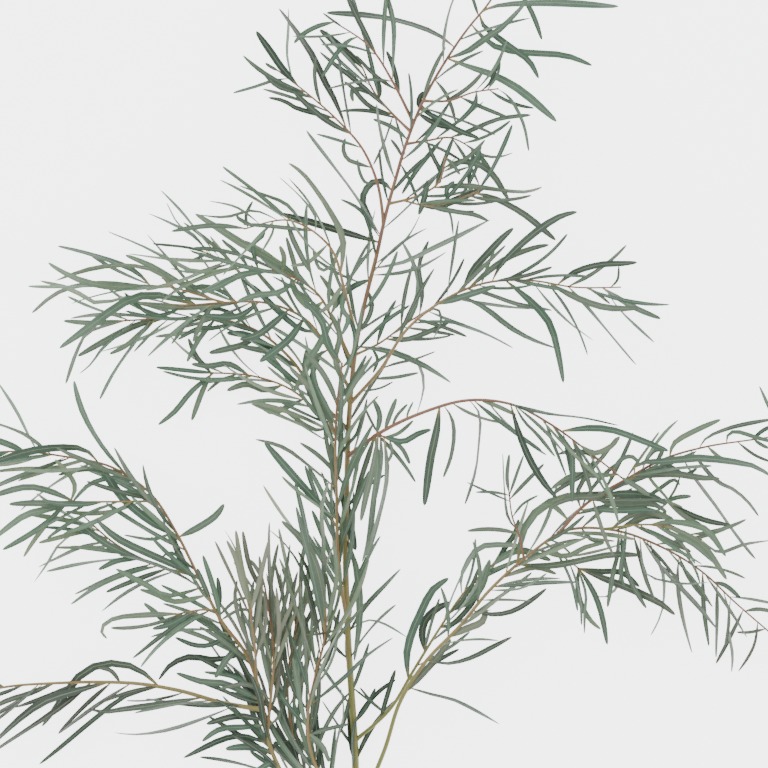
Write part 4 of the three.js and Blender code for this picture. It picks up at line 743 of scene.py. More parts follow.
# %% Shoot left level
add_shoot(
    "shoot_left_level", on="main_stem",
    twigs=[
        twig((1.7, 0.8), (46, 36), (-28, 70), (-42, 98), (-58, 124), (-78, 143), (-105, 151),
            (-130, 152), (-155, 150), (-182, 148)),
        twig((1.2, 0.7), (56, 44), (-142, 151), (-165, 158), (-190, 165), (-214, 167)),
    ],
    leaves=[
        leaf(5.5, (-152, 154), (-176, 165), (-194, 176), (-208, 184), (-231, 194)),
        leaf(5, (-208, 167), (-222, 179), (-240, 187), (-265, 195), (-292, 202)),
        leaf(4.5, (-186, 164), (-202, 179), (-224, 185), (-252, 184), (-276, 178), (-294, 171)),
        leaf(6.5, (-196, 166), (-222, 165), (-246, 166), (-266, 170), (-285, 178), (-300, 187)),
        leaf(3, (-214, 167), (-250, 167), (-285, 166), (-319, 166)),
        leaf(5, (-214, 167), (-255, 169), (-280, 166), (-299, 157), (-316, 142)),
        leaf(3.5, (-182, 148), (-225, 158), (-255, 151), (-280, 164), (-308, 171)),
        leaf(8, (-168, 149), (-206, 158), (-232, 151), (-251, 138), (-270, 124), (-290, 110)),
        leaf(6, (-124, 152), (-160, 147), (-190, 147), (-222, 151)),
        leaf(7.5, (-70, 136), (-82, 120), (-96, 108), (-110, 98)),
        leaf(7, (-84, 146), (-98, 132), (-112, 122), (-128, 118)),
        leaf(6, (-112, 151), (-126, 140), (-140, 138), (-160, 140)),
        leaf(5.5, (-48, 108), (-62, 100), (-72, 84), (-80, 70)),
        leaf(6, (-58, 124), (-76, 128), (-94, 144), (-112, 162), (-126, 172)),
        leaf(4, (-178, 148), (-196, 140), (-212, 142), (-232, 160)),
        leaf(5, (-150, 150), (-160, 138), (-166, 126), (-170, 116)),
        leaf(4.5, (-130, 152), (-146, 162), (-164, 166), (-184, 158)),
    ],
    small=small(14, (0.1, 0.08), (54, 92), 22),
)

# %% Shoot left long
add_shoot(
    "shoot_left_long", on="main_stem",
    twigs=[
        twig((1.8, 0.8), (24, 16), (-30, 36), (-44, 50), (-58, 66), (-73, 89), (-90, 109),
            (-105, 121), (-122, 130), (-150, 137), (-180, 138), (-206, 136), (-234, 135)),
    ],
    leaves=[
        resting_leaf(5, (-233, 135), (-260, 133), (-288, 135)),
        leaf(6.5, (-196, 137), (-222, 131), (-250, 117), (-275, 103)),
        leaf(5, (-204, 136), (-220, 122), (-232, 112), (-246, 105)),
        leaf(3.5, (-208, 136), (-222, 116), (-240, 90), (-254, 64)),
        leaf(3.5, (-232, 135), (-264, 126), (-276, 108), (-286, 78)),
        leaf(3, (-228, 135), (-252, 143), (-270, 150), (-284, 157)),
        leaf(3, (-222, 135), (-250, 112), (-262, 96), (-273, 87)),
        leaf(5, (-150, 137), (-164, 120), (-170, 110), (-176, 98)),
        leaf(6.5, (-110, 124), (-124, 114), (-138, 110), (-156, 106)),
        leaf(7, (-92, 111), (-104, 112), (-122, 122), (-140, 124)),
        leaf(6, (-76, 92), (-86, 98), (-100, 106), (-128, 112)),
        leaf(5, (-54, 60), (-66, 72), (-70, 92), (-68, 110)),
        leaf(5.5, (-66, 78), (-78, 80), (-92, 92), (-108, 104)),
        leaf(4, (-120, 129), (-134, 140), (-150, 146), (-166, 142)),
        leaf(4.5, (-134, 133), (-150, 128), (-166, 128), (-184, 118)),
        leaf(3.5, (-160, 138), (-176, 132), (-184, 122), (-190, 114)),
        leaf(3, (-40, 46), (-50, 44), (-66, 50), (-92, 62)),
        leaf(3, (-36, 42), (-52, 28), (-72, 40), (-118, 60)),
    ],
    extra=[
        leaf(2.5, (-193, 138), (-208, 124), (-224, 107)),
    ],
    small=small(14, (0.15, 0.08), (54, 92), 22),
)

# %% Shoot left low
add_shoot(
    "shoot_left_low", on="main_stem",
    twigs=[
        twig((1.5, 0.8), (16, 14), (-31, 14), (-46, 36), (-62, 58), (-86, 75), (-112, 84),
            (-135, 88), (-156, 88)),
    ],
    leaves=[
        leaf(4, (-150, 88), (-175, 90), (-204, 93)),
        leaf(5, (-152, 88), (-172, 71), (-187, 53), (-202, 41)),
        leaf(5, (-154, 88), (-162, 72), (-172, 45)),
        leaf(3, (-130, 87), (-146, 81), (-158, 71)),
        leaf(4.5, (-154, 88), (-167, 102), (-175, 119)),
        leaf(5.5, (-120, 86), (-138, 96), (-156, 94), (-172, 96)),
        leaf(6, (-90, 76), (-106, 72), (-122, 78), (-140, 72)),
        leaf(5, (-70, 64), (-84, 58), (-98, 52), (-112, 60)),
        leaf(5, (-58, 54), (-64, 70), (-62, 90), (-54, 108)),
        leaf(4, (-48, 40), (-58, 36), (-74, 44), (-92, 58)),
    ],
    small=small(11, (0.15, 0.08), (50, 84), 22, (1, 1, -1)),
)

# %% Shoot stem side
add_shoot(
    "shoot_stem_side", on="main_stem",
    twigs=[
        twig((1.9, 1.0), (58, 68), (-32, -136), (-37, -106), (-40, -64), (-41, -10), (-42, 30),
            (-40, 62), (-36, 96)),
    ],
    leaves=[
        leaf(7, (-40, -52), (-52, -34), (-70, -15), (-88, 5), (-106, 26)),
        leaf(3.2, (-41, -16), (-65, 3), (-88, 20), (-114, 28)),
        leaf(3, (-40, -44), (-62, -28), (-78, -16), (-90, -5)),
        leaf(4.5, (-42, 24), (-50, 40), (-62, 62), (-72, 86)),
        leaf(5, (-41, 40), (-50, 58), (-60, 78), (-62, 100)),
        leaf(5, (-38, 82), (-42, 100), (-38, 122), (-46, 142)),
        leaf(4.5, (-37, 92), (-26, 104), (-24, 122), (-30, 138)),
        leaf(6, (-36, 96), (-48, 112), (-54, 134), (-70, 152)),
        leaf(4, (-40, 60), (-28, 78), (-20, 92), (-14, 104)),
        leaf(3, (-42, 10), (-30, 24), (-22, 34), (-18, 52)),
    ],
    small=small(10, (0.1, 0.08), (56, 90), 18, (1, -1), (3, 5.5)),
)
print("shoots so far:", len(SHOOTS))

# %% [markdown]
# ## The shoots at the lower left
# The far-left shoot is long and arching, with side twigs of its own. A bare-footed one lies below
# it, and four short upright shoots with narrow olive leaves stand close together near the cut end.

# %% Shoot far left
add_shoot(
    "shoot_far_left", on="main_stem",
    twigs=[
        twig((2.4, 0.8), (60, 34), (-26, -356), (-50, -328), (-74, -298), (-90, -275),
            (-98, -258), (-102, -240), (-107, -214), (-113, -187), (-121, -167), (-134, -149),
            (-149, -128), (-159, -106), (-172, -83), (-182, -62), (-190, -44), (-198, -32),
            (-210, -19), (-226, -6), (-245, 4), (-262, 10), (-280, 12), (-300, 14), (-325, 17),
            (-350, 18), (-370, 15)),
        twig((1.2, 0.8), (66, 60), (-203, -27), (-232, -28), (-260, -28), (-286, -28)),
        twig((1.3, 0.8), (52, 44), (-166, -96), (-190, -89), (-215, -80), (-240, -66),
            (-258, -52), (-270, -40)),
        twig((1.1, 0.8), (70, 64), (-150, -127), (-164, -125), (-184, -129)),
    ],
    leaves=[
        leaf(5, (-230, -4), (-250, 20), (-264, 43), (-272, 62), (-277, 81)),
        dark(leaf(7.5, (-183, -60), (-208, -46), (-232, -26), (-246, -7), (-257, 8))),
        dark(leaf(6.5, (-254, 8), (-268, 19), (-290, 21), (-320, 17), (-352, 7))),
        dark(leaf(6.5, (-183, -60), (-165, -51), (-150, -41), (-142, -30))),
        leaf(6, (-262, -28), (-288, -30), (-312, -29), (-335, -30)),
        leaf(6, (-274, -28), (-297, -34), (-318, -39), (-332, -48), (-352, -64)),
        leaf(6, (-276, -28), (-300, -18), (-322, -15), (-354, -24)),
        leaf(5, (-282, -28), (-300, -45), (-318, -58), (-341, -71)),
        leaf(4.5, (-284, -28), (-302, -48), (-315, -65), (-323, -78)),
        leaf(4.5, (-256, -53), (-275, -56), (-290, -60), (-309, -65)),
        leaf(3, (-244, -63), (-270, -69), (-290, -78), (-309, -87)),
        leaf(5, (-218, -79), (-238, -81), (-255, -89)),
        leaf(5, (-160, -104), (-192, -112), (-212, -102), (-239, -88)),
        leaf(5, (-156, -112), (-185, -118), (-204, -111), (-218, -107)),
        dark(leaf(7, (-170, -95), (-192, -82), (-214, -72), (-238, -60), (-256, -44))),
        leaf(6.5, (-214, -80), (-236, -72), (-256, -60), (-274, -46)),
        leaf(6, (-164, -98), (-176, -90), (-184, -72), (-190, -54)),
        leaf(3, (-186, -54), (-206, -62), (-232, -58)),
        leaf(3, (-168, -90), (-188, -74), (-198, -78)),
        leaf(4, (-206, -22), (-222, -20), (-238, -19)),
        leaf(4.5, (-220, -11), (-240, -7), (-262, -12), (-278, -28)),
        leaf(3, (-310, 15), (-318, 32), (-330, 56), (-350, 86)),
        leaf(3.2, (-298, 14), (-318, 30), (-335, 38), (-356, 45)),
        leaf(6, (-322, 17), (-338, 24), (-358, 31)),
        leaf(3.2, (-284, 12), (-308, 3), (-328, -5), (-354, -16)),
        leaf(4.5, (-270, 11), (-296, 1), (-325, 1), (-354, -2)),
        leaf(5, (-336, 18), (-356, 10), (-374, -4)),
        leaf(4, (-368, 15), (-378, 18), (-387, 14)),
        leaf(4.5, (-280, -28), (-276, -14), (-284, 0), (-294, 10)),
        leaf(5, (-182, -129), (-215, -130), (-240, -133), (-252, -142), (-247, -151)),
        leaf(5, (-170, -126), (-188, -137), (-206, -142)),
        leaf(5, (-178, -128), (-192, -137), (-203, -128), (-214, -119)),
        leaf(4.5, (-137, -145), (-152, -156), (-168, -157), (-186, -150)),
        dark(leaf(5.5, (-122, -165), (-152, -170), (-172, -167), (-190, -174), (-201, -188))),
        leaf(5, (-144, -135), (-150, -110), (-161, -76)),
        leaf(4.5, (-153, -118), (-160, -103), (-166, -88)),
        leaf(4.5, (-148, -130), (-146, -112), (-148, -96)),
        leaf(3, (-147, -131), (-132, -117), (-117, -114)),
        leaf(3, (-145, -134), (-128, -125), (-116, -127)),
        leaf(6, (-108, -208), (-140, -192), (-162, -190), (-185, -182)),
        leaf(4, (-110, -200), (-132, -186), (-160, -181)),
        leaf(6, (-105, -226), (-130, -221), (-158, -228)),
        leaf(5.5, (-104, -229), (-125, -231), (-146, -233), (-162, -244)),
        leaf(5.5, (-101, -246), (-125, -239), (-146, -243), (-179, -259)),
        leaf(6.5, (-99, -254), (-120, -249), (-141, -251)),
        leaf(6, (-96, -262), (-108, -268), (-122, -280)),
        leaf(6, (-128, -156), (-140, -170), (-150, -186)),
        leaf(6, (-119, -170), (-136, -158), (-152, -140), (-172, -128)),
    ],
    extra=[
        leaf(5, (-110, -200), (-122, -180), (-136, -154), (-149, -128)),
        leaf(4.5, (-105, -226), (-114, -202), (-127, -174), (-141, -146)),
        leaf(4, (-117, -176), (-131, -163), (-147, -150), (-164, -140)),
        leaf(4.5, (-119, -170), (-140, -160), (-162, -150), (-188, -141)),
        leaf(4, (-108, -210), (-126, -205), (-146, -196), (-166, -189)),
        leaf(5, (-103, -236), (-112, -216), (-122, -196), (-134, -178)),
        leaf(5, (-100, -250), (-110, -234), (-118, -214), (-124, -190)),
        leaf(2.2, (-264, -47), (-290, -65), (-301, -82), (-314, -101)),
        leaf(4.5, (-92, -272), (-106, -262), (-119, -253)),
        leaf(5, (-96, -262), (-103, -240), (-108, -215), (-112, -190)),
        leaf(4.5, (-100, -250), (-106, -228), (-110, -204), (-118, -182)),
    ],
    small=small(10, (0.18, 0.08), (54, 90), 24, (1,), (2.4, 4.8)),
)

# %% Shoot low left
add_shoot(
    "shoot_low_left", on="shoot_far_left",
    twigs=[
        twig((1.9, 0.8), (28, 16), (-107, -216), (-123, -215), (-145, -209), (-167, -203),
            (-201, -194), (-234, -192), (-266, -191), (-311, -193), (-344, -196), (-372, -202)),
    ],
    leaves=[
        leaf(7, (-201, -194), (-222, -178), (-250, -174), (-273, -185), (-292, -210),
            (-307, -231)),
        leaf(6.5, (-246, -192), (-278, -200), (-303, -208), (-325, -223), (-352, -248)),
        leaf(5, (-262, -192), (-290, -214), (-318, -233), (-352, -255)),
        leaf(5, (-296, -193), (-320, -202), (-336, -207), (-356, -216)),
        leaf(3, (-310, -193), (-330, -212), (-354, -230)),
        resting_leaf(4.5, (-200, -194), (-232, -204), (-250, -217), (-270, -233), (-290, -250),
            (-310, -266)),
        leaf(5, (-160, -205), (-200, -211), (-230, -215), (-250, -218), (-264, -215)),
        leaf(3, (-132, -213), (-160, -222), (-190, -232), (-220, -237), (-241, -236)),
        leaf(4, (-236, -192), (-244, -181), (-256, -178)),
        leaf(4.5, (-340, -196), (-358, -190), (-378, -192)),
        leaf(4, (-370, -202), (-378, -210), (-386, -222)),
        leaf(4, (-352, -198), (-364, -210), (-378, -232)),
    ],
    extra=[
        leaf(2.5, (-124, -215), (-150, -210), (-176, -210)),
    ],
    small=small(24, (0.1, 0.08), (50, 82), 28, (1,)),
)

# %% Shoot upright one
add_shoot(
    "shoot_upright_one", on="main_stem",
    twigs=[
        twig((2.0, 0.9), (58, 78), (-25, -318), (-44, -296), (-58, -272), (-65, -248),
            (-67, -225), (-64, -200), (-58, -178), (-53, -158), (-50, -136), (-51, -112)),
    ],
    leaves=[
        dark(leaf(8.5, (-50, -134), (-54, -108), (-61, -80), (-73, -60), (-90, -45))),
        leaf(5, (-50, -128), (-52, -96), (-52, -60), (-54, -35), (-48, -10)),
        dark(leaf(5.5, (-51, -118), (-62, -80), (-70, -42), (-78, -10))),
        dark(leaf(6.5, (-52, -146), (-63, -90), (-71, -58), (-77, -32))),
        leaf(5, (-51, -140), (-44, -115), (-40, -90), (-44, -62)),
        leaf(2.8, (-51, -116), (-70, -66), (-90, -38), (-107, -13)),
        leaf(3.2, (-54, -160), (-68, -100), (-84, -70), (-101, -53)),
        leaf(4, (-65, -212), (-32, -185), (-14, -167), (10, -150)),
        leaf(4.5, (-66, -238), (-48, -232), (-30, -228)),
        leaf(5, (-62, -192), (-48, -168), (-42, -144), (-38, -124)),
        leaf(3, (-63, -196), (-50, -180), (-42, -160), (-40, -142)),
        leaf(5, (-67, -230), (-82, -214), (-94, -196), (-98, -176)),
        leaf(5, (-66, -216), (-78, -200), (-86, -176), (-88, -156)),
        leaf(4, (-66, -240), (-54, -250), (-46, -262)),
    ],
    extra=[
        leaf(4.5, (-65, -206), (-67, -182), (-69, -156), (-72, -126), (-74, -98)),
        leaf(5, (-66, -235), (-72, -215), (-76, -192), (-80, -168)),
        leaf(5, (-66, -240), (-60, -220), (-57, -198), (-58, -170)),
        leaf(5, (-66, -236), (-59, -242), (-52, -250), (-48, -262)),
        leaf(5.5, (-60, -268), (-67, -250), (-74, -230), (-80, -206)),
        leaf(4, (-58, -178), (-62, -160), (-63, -140), (-60, -116)),
        leaf(5, (-54, -160), (-47, -140), (-46, -118), (-50, -92)),
        dark(leaf(6.5, (-57, -274), (-57, -254), (-59, -234), (-61, -212), (-62, -196))),
        leaf(4, (-47, -291), (-45, -262), (-42, -232)),
        leaf(2.2, (-46, -292), (-41, -248), (-34, -220), (-37, -196)),
    ],
    small=small(10.5, (0.1, 0.08), (64, 104), 18, (1, -1), (3, 5.4)),
)

# %% Shoot upright two
add_shoot(
    "shoot_upright_two", on="main_stem",
    twigs=[
        twig((1.8, 0.9), (30, 48), (-26, -337), (-50, -310), (-68, -282), (-78, -252),
            (-84, -218), (-85, -190), (-81, -160), (-77, -136), (-73, -112)),
    ],
    leaves=[
        leaf(5, (-76, -130), (-82, -100), (-88, -74), (-93, -52)),
        leaf(5, (-74, -118), (-73, -98), (-72, -80), (-66, -54)),
        leaf(6, (-83, -175), (-74, -140), (-68, -110), (-66, -84)),
        leaf(5, (-85, -186), (-90, -150), (-97, -118), (-104, -95)),
        leaf(5.5, (-84, -206), (-92, -172), (-104, -150), (-118, -130)),
        leaf(6, (-82, -232), (-98, -214), (-116, -206), (-138, -200)),
        leaf(6, (-84, -214), (-72, -190), (-66, -160), (-70, -130)),
        leaf(5, (-80, -244), (-94, -246), (-108, -258)),
        leaf(5, (-76, -258), (-66, -240), (-52, -232)),
        leaf(3, (-79, -148), (-64, -148), (-50, -146), (-34, -142)),
    ],
    extra=[
        leaf(4, (-80, -158), (-85, -135), (-91, -108), (-97, -82)),
        leaf(3.5, (-84, -175), (-87, -145), (-89, -118), (-92, -92)),
        leaf(6, (-78, -252), (-84, -235), (-90, -212), (-98, -188)),
        leaf(5, (-80, -245), (-76, -225), (-73, -200), (-72, -172)),
        leaf(5, (-84, -215), (-91, -195), (-96, -172), (-99, -148)),
        leaf(4.5, (-85, -195), (-80, -172), (-77, -150), (-77, -124)),
        leaf(5, (-74, -264), (-82, -250), (-92, -240), (-104, -222)),
        leaf(5, (-70, -276), (-78, -262), (-88, -246), (-96, -226)),
        dark(leaf(6.5, (-79, -250), (-89, -232), (-95, -208), (-97, -182))),
        dark(leaf(6.5, (-73, -268), (-81, -246), (-87, -226), (-90, -204))),
        dark(leaf(5, (-68, -282), (-73, -254), (-79, -236), (-85, -208))),
        leaf(5, (-72, -274), (-82, -264), (-90, -255), (-98, -245)),
    ],
    small=small(10.5, (0.1, 0.08), (64, 104), 18, (1, -1), (3, 5.4)),
)

# %% Shoot upright three
add_shoot(
    "shoot_upright_three", on="shoot_far_left",
    twigs=[
        twig((1.5, 0.9), (64, 74), (-103, -237), (-100, -206), (-97, -180), (-98, -150),
            (-102, -124), (-106, -100)),
    ],
    leaves=[
        leaf(5, (-98, -148), (-99, -110), (-101, -80), (-101, -46)),
        leaf(6, (-104, -114), (-112, -100), (-120, -82), (-125, -54)),
        leaf(5, (-98, -160), (-90, -130), (-84, -104), (-90, -88)),
        leaf(5, (-105, -104), (-110, -92), (-118, -80)),
        leaf(5, (-98, -176), (-106, -150), (-110, -122), (-108, -96)),
        leaf(4.5, (-99, -196), (-92, -172), (-88, -148), (-90, -122)),
        leaf(5.5, (-100, -206), (-112, -196), (-126, -192), (-146, -196)),
    ],
    extra=[
        leaf(4, (-98, -160), (-96, -135), (-99, -112), (-104, -92)),
        leaf(5, (-101, -220), (-95, -200), (-92, -178), (-90, -150)),
        leaf(5, (-102, -230), (-93, -222), (-88, -204), (-87, -182)),
        leaf(5, (-99, -200), (-104, -180), (-108, -158), (-109, -132)),
        leaf(4.5, (-98, -172), (-93, -150), (-93, -128), (-95, -104)),
    ],
    small=small(11, (0.1, 0.08), (60, 96), 18, (1, -1), (3, 5.4)),
)

# %% Shoot upright four
add_shoot(
    "shoot_upright_four", on="shoot_far_left",
    twigs=[
        twig((1.4, 0.9), (80, 88), (-113, -188), (-114, -164), (-116, -140), (-120, -116)),
    ],
    leaves=[
        leaf(6.5, (-116, -136), (-120, -112), (-126, -86), (-131, -53)),
        leaf(6, (-119, -120), (-126, -98), (-131, -78), (-139, -62)),
        leaf(5, (-115, -150), (-110, -124), (-108, -98), (-110, -76)),
        leaf(5, (-114, -166), (-126, -140), (-132, -116), (-130, -98)),
    ],
    extra=[
        leaf(5, (-114, -170), (-110, -148), (-108, -122), (-112, -94)),
        leaf(4.5, (-113, -180), (-119, -160), (-124, -140), (-128, -116)),
        leaf(4.5, (-114, -166), (-107, -150), (-104, -130), (-106, -108)),
        leaf(2.5, (-120, -116), (-124, -92), (-132, -68), (-141, -53)),
    ],
    small=small(13, (0.1, 0.08), (56, 92), 18, (1, -1), (3, 5.4)),
)
print("shoots in all:", len(SHOOTS))

# %% [markdown]
# ## Smooth routes
# A route is rounded through its points with a Catmull-Rom curve: each span looks at the point
# before and the point after it, so the line passes through every point without a kink. Draws come
# from a small generator that is written out here, so every run gives the same branch.

# %% Routes, distances and repeatable draws
DRAW_FACTOR = 1664525
DRAW_STEP = 1013904223
DRAW_RANGE = 2 ** 32


def draws(seed):
    state = seed
    while True:
        state = (DRAW_FACTOR * state + DRAW_STEP) % DRAW_RANGE
        yield state / DRAW_RANGE


def smooth_route(points, steps):
    line = []
    last = len(points) - 1
    for i in range(last):
        a, b = points[max(i - 1, 0)], points[i]
        c, d = points[i + 1], points[min(i + 2, last)]
        for s in range(steps):
            u = s / steps
            line.append(tuple(
                0.5 * (2 * q + (r - p) * u + (2 * p - 5 * q + 4 * r - w) * u * u
                       + (3 * q - p - 3 * r + w) * u ** 3)
                for p, q, r, w in zip(a, b, c, d)
            ))
    line.append(tuple(points[-1]))
    return line


def travelled(line):
    run = [0.0]
    for before, after in zip(line, line[1:]):
        run.append(run[-1] + math.dist(before, after))
    return run


def point_at(line, run, share):
    target = share * run[-1]
    i = 1
    while i < len(run) - 1 and run[i] < target:
        i += 1
    u = (target - run[i - 1]) / (run[i] - run[i - 1])
    return tuple(p + (q - p) * u for p, q in zip(line[i - 1], line[i]))


def nearest_on(axes, place):
    spots = (spot for axis in axes for spot in axis)
    return min(spots, key=lambda spot: math.hypot(spot[0] - place[0], spot[1] - place[1]))


print("length of the stem's route, mm:", round(travelled(STEM_ROUTE)[-1]))

# %% [markdown]
# ## Twig axes
# A twig arches through three heights: its root on what carries it, its middle and its tip. The
# solids take a long step along it, so their axes are made first and then rounded for the bark.

# %% The axes of the stem and all twigs
TWIG_STEP = 44
TWIG_MIN_STEPS = 3
AXIS_GAP = 2
TWIG_SMOOTHING = 4
BARK_SMOOTHING = 8
STEM_SLIMNESS = math.cos(math.pi / STEM_SIDES)
SEAT_PULL = 3


def dense_axis(axis):
    run = travelled(axis)
    count = math.ceil(run[-1] / AXIS_GAP)
    return [point_at(axis, run, i / count) for i in range(count + 1)]


def twig_axis(shape, root):
    plan = smooth_route([root[:2], *shape["route"][1:]], TWIG_SMOOTHING)
    run = travelled(plan)
    steps = max(TWIG_MIN_STEPS, math.ceil(run[-1] / TWIG_STEP))
    middle, tip = shape["heights"]
    axis = []
    for i in range(steps + 1):
        t = i / steps
        height = root[2] * (1 - t) * (1 - 2 * t) + 4 * middle * t * (1 - t) + tip * t * (2 * t - 1)
        axis.append((*point_at(plan, run, t), height))
    return axis


def stem_axis():
    run = travelled(STEM_ROUTE)
    axis = []
    for i, (x, y, z) in enumerate(STEM_ROUTE):
        radius = STEM_RADII[0] + (STEM_RADII[1] - STEM_RADII[0]) * run[i] / run[-1]
        on_floor = i < STEM_REST_POINTS
        axis.append((x, y, radius * STEM_SLIMNESS if on_floor else z))
    return axis


def stem_bark():
    line = dense_axis(smooth_route(stem_axis(), BARK_SMOOTHING))
    last = len(line) - 1
    thick, thin = (radius * STEM_SLIMNESS for radius in STEM_RADII)
    return [(x, y, max(z, thick + (thin - thick) * i / last)) for i, (x, y, z) in enumerate(line)]


def pulled_to_seat(line, root, seat):
    last = len(line) - 1
    return [
        tuple(p + (s - r) * (1 - i / last) ** SEAT_PULL for p, s, r in zip(spot, seat, root))
        for i, spot in enumerate(line)
    ]


def empty_node():
    return {"radii": [], "cad": [], "bark": [], "leaves": []}


nodes = {"main_stem": empty_node()}
nodes["main_stem"]["radii"].append(STEM_RADII)
nodes["main_stem"]["cad"].append(dense_axis(stem_axis()))
nodes["main_stem"]["bark"].append(stem_bark())
for name, shape in SHOOTS.items():
    node = nodes[name] = empty_node()
    for i, one in enumerate(shape["twigs"]):
        carrier = nodes[shape["on"]] if i == 0 else node
        root = nearest_on(carrier["cad"], one["route"][0])
        seat = nearest_on(carrier["bark"], root)
        axis = twig_axis(one, root)
        bark = dense_axis(smooth_route(axis, BARK_SMOOTHING))
        node["radii"].append(one["radii"])
        node["cad"].append(dense_axis(axis))
        node["bark"].append(pulled_to_seat(bark, root, seat))
print("stem and twigs:", sum(len(node["radii"]) for node in nodes.values()))

# %% [markdown]
# ## The pose of each leaf
# Seen from above a leaf follows its marked midrib. How far it rises, bows and twists was drawn for
# the solids, several times where the first draws met another leaf. The same draws are made here,
# and the one whose tip height is found among the solid's own corners is the leaf's pose.

# %% A leaf's height along its midrib
LEAF_TRIES = 36
FLOOR_MARGIN = 1.2
FLOOR_SOFTNESS = 3
LEAF_SMOOTHING = 5
FIRST_SEED = 1
SEED_STEP = 97
REST_SAG = 1.5
LEAF_PEAK = 0.45
MAX_ROLL = 1.2
RISE_SHARE = 0.3
RISE_GROWTH = 0.03
RISE_BIAS = 0.45
BOW_BIAS = 0.3
BOW_SHARE = 0.14
TWIST_RANGE = 0.8


def above_floor(z, margin):
    rise = z - margin
    return margin + 0.5 * (rise + math.hypot(rise, FLOOR_SOFTNESS))


def drawn_poses(reach, rests, next_draw, tries):
    for attempt in range(tries):
        span = reach * (RISE_SHARE + RISE_GROWTH * attempt)
        rise = (next(next_draw) - RISE_BIAS) * span
        bow = (next(next_draw) - BOW_BIAS) * BOW_SHARE * reach
        side = 1 if next(next_draw) > 0.5 else -1
        twist = (next(next_draw) - 0.5) * TWIST_RANGE
        yield {"rise": rise, "bow": bow, "side": 0 if rests else side,
               "twist": 0 if rests else twist, "rests": rests}


print("a point on the floor is lifted to, mm:", round(above_floor(0, FLOOR_MARGIN), 2))

# %% Find the pose of every leaf that the solids have
def tip_heights(name):
    corners = {}
    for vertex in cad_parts[name].data.vertices:
        x, y, z = (value / MM for value in vertex.co)
        corners.setdefault((round(x, 1), round(y, 1)), []).append(z)
    return corners


TIP_MATCH = 0.02
seed = FIRST_SEED
left_out = []
for name, node in nodes.items():
    corners = tip_heights(name)
    for shape in STEM_LEAVES if name == "main_stem" else SHOOTS[name]["leaves"]:
        seed += SEED_STEP
        root = nearest_on(node["cad"], shape["route"][0])
        plan = smooth_route([root[:2], *shape["route"][1:]], LEAF_SMOOTHING)
        reach = travelled(plan)[-1]
        tip = tuple(round(float(value), 1) for value in shape["route"][-1])
        found = corners.get(tip, [])
        best = None
        for pose in drawn_poses(reach, shape["rests"], draws(seed), LEAF_TRIES):
            height = 0 if shape["rests"] else above_floor(root[2] + pose["rise"], FLOOR_MARGIN)
            miss = min((abs(height - z) for z in found), default=math.inf)
            if best is None or miss < best[0]:
                best = (miss, pose)
        if best[0] < TIP_MATCH:
            node["leaves"].append({"plan": plan, "root": root, "width": shape["width"],
                                   "dark": shape["dark"], **best[1]})
        else:
            left_out.append((name, shape))
print("leaves of the solids:", sum(len(node["leaves"]) for node in nodes.values()),
      "not among them:", len(left_out))

# %% [markdown]
# ## A blade along its midrib
# A real blade is nearly parallel-sided, with a narrow foot and a short point, and it waves a
# little. At stations along the midrib this gives the middle of the blade, half its width and its
# roll: what a section swept along the line needs.

# %% Stations of a blade
STATIONS = (0, 0.05, 0.13, 0.24, 0.36, 0.48, 0.6, 0.72, 0.83, 0.91, 0.96, 0.985, 1)
WIDTH_RATIO = 0.075
WIDTH_MAX = 8.5
FULLNESS = 1.02
NARROW_LEAVED = {
    "shoot_upright_one": 0.84, "shoot_upright_two": 0.78, "shoot_upright_three": 0.76,
    "shoot_upright_four": 0.76, "shoot_left_broad": 0.93, "shoot_left_long": 0.93,
    "shoot_left_high": 0.93, "shoot_left_level": 0.93, "shoot_mid_right": 0.94,
    "shoot_right_spread": 0.95, "shoot_right_outer": 0.95,
}
FOOT_SHARE = 0.18
FULL_FROM = 0.34
FULL_TO = 0.55
TIP_SHARE = 0.38
TAPER = 3.2
ROUND_FROM = 0.96
POINT_SHARE = 0.2
THICKNESS = 0.1
WAVE = 0.12
WAVE_RATE = 7
WAVE_SHIFT = 10
EDGE_MARGIN = 0.5


def blade_share(t):
    if t < FULL_TO:
        grown = min(1, t / FULL_FROM)
        return FOOT_SHARE + (1 - FOOT_SHARE) * math.sin(0.5 * math.pi * grown)
    share = 1 - (1 - TIP_SHARE) * ((t - FULL_TO) / (1 - FULL_TO)) ** TAPER
    past = max(0, t - ROUND_FROM) / (1 - ROUND_FROM)
    return share * max(POINT_SHARE, math.sqrt(1 - past * past))


def blade_stations(one, seat, fullness):
    plan, root = one["plan"], one["root"]
    run = travelled(plan)
    grown = 0 if one["rests"] else min(WIDTH_MAX, WIDTH_RATIO * run[-1])
    width = max(one["width"], grown)
    tilt = min(MAX_ROLL, math.acos(one["width"] / width))
    stations = []
    for t in STATIONS:
        half = 0.5 * fullness * width * blade_share(t)
        roll = one["side"] * tilt + one["twist"] * (t - LEAF_PEAK)
        roll += 0 if one["rests"] else WAVE * math.sin(WAVE_RATE * t + WAVE_SHIFT * one["twist"])
        if one["rests"]:
            z = max(root[2] * (1 - t) ** REST_SAG, THICKNESS * half)
        else:
            z = root[2] + one["rise"] * t + one["bow"] * 4 * t * (1 - t)
            z = above_floor(z, FLOOR_MARGIN + half * abs(math.sin(roll)) + EDGE_MARGIN)
        x, y = point_at(plan, run, t)
        pull = (1 - t) ** SEAT_PULL
        spot = tuple(p + (s - r) * pull for p, s, r in zip((x, y, z), seat, root))
        stations.append((spot, half, roll, t))
    return stations


for name, node in nodes.items():
    node["fullness"] = FULLNESS * NARROW_LEAVED.get(name, 1)
print("narrow-leaved shoots:", len(NARROW_LEAVED))

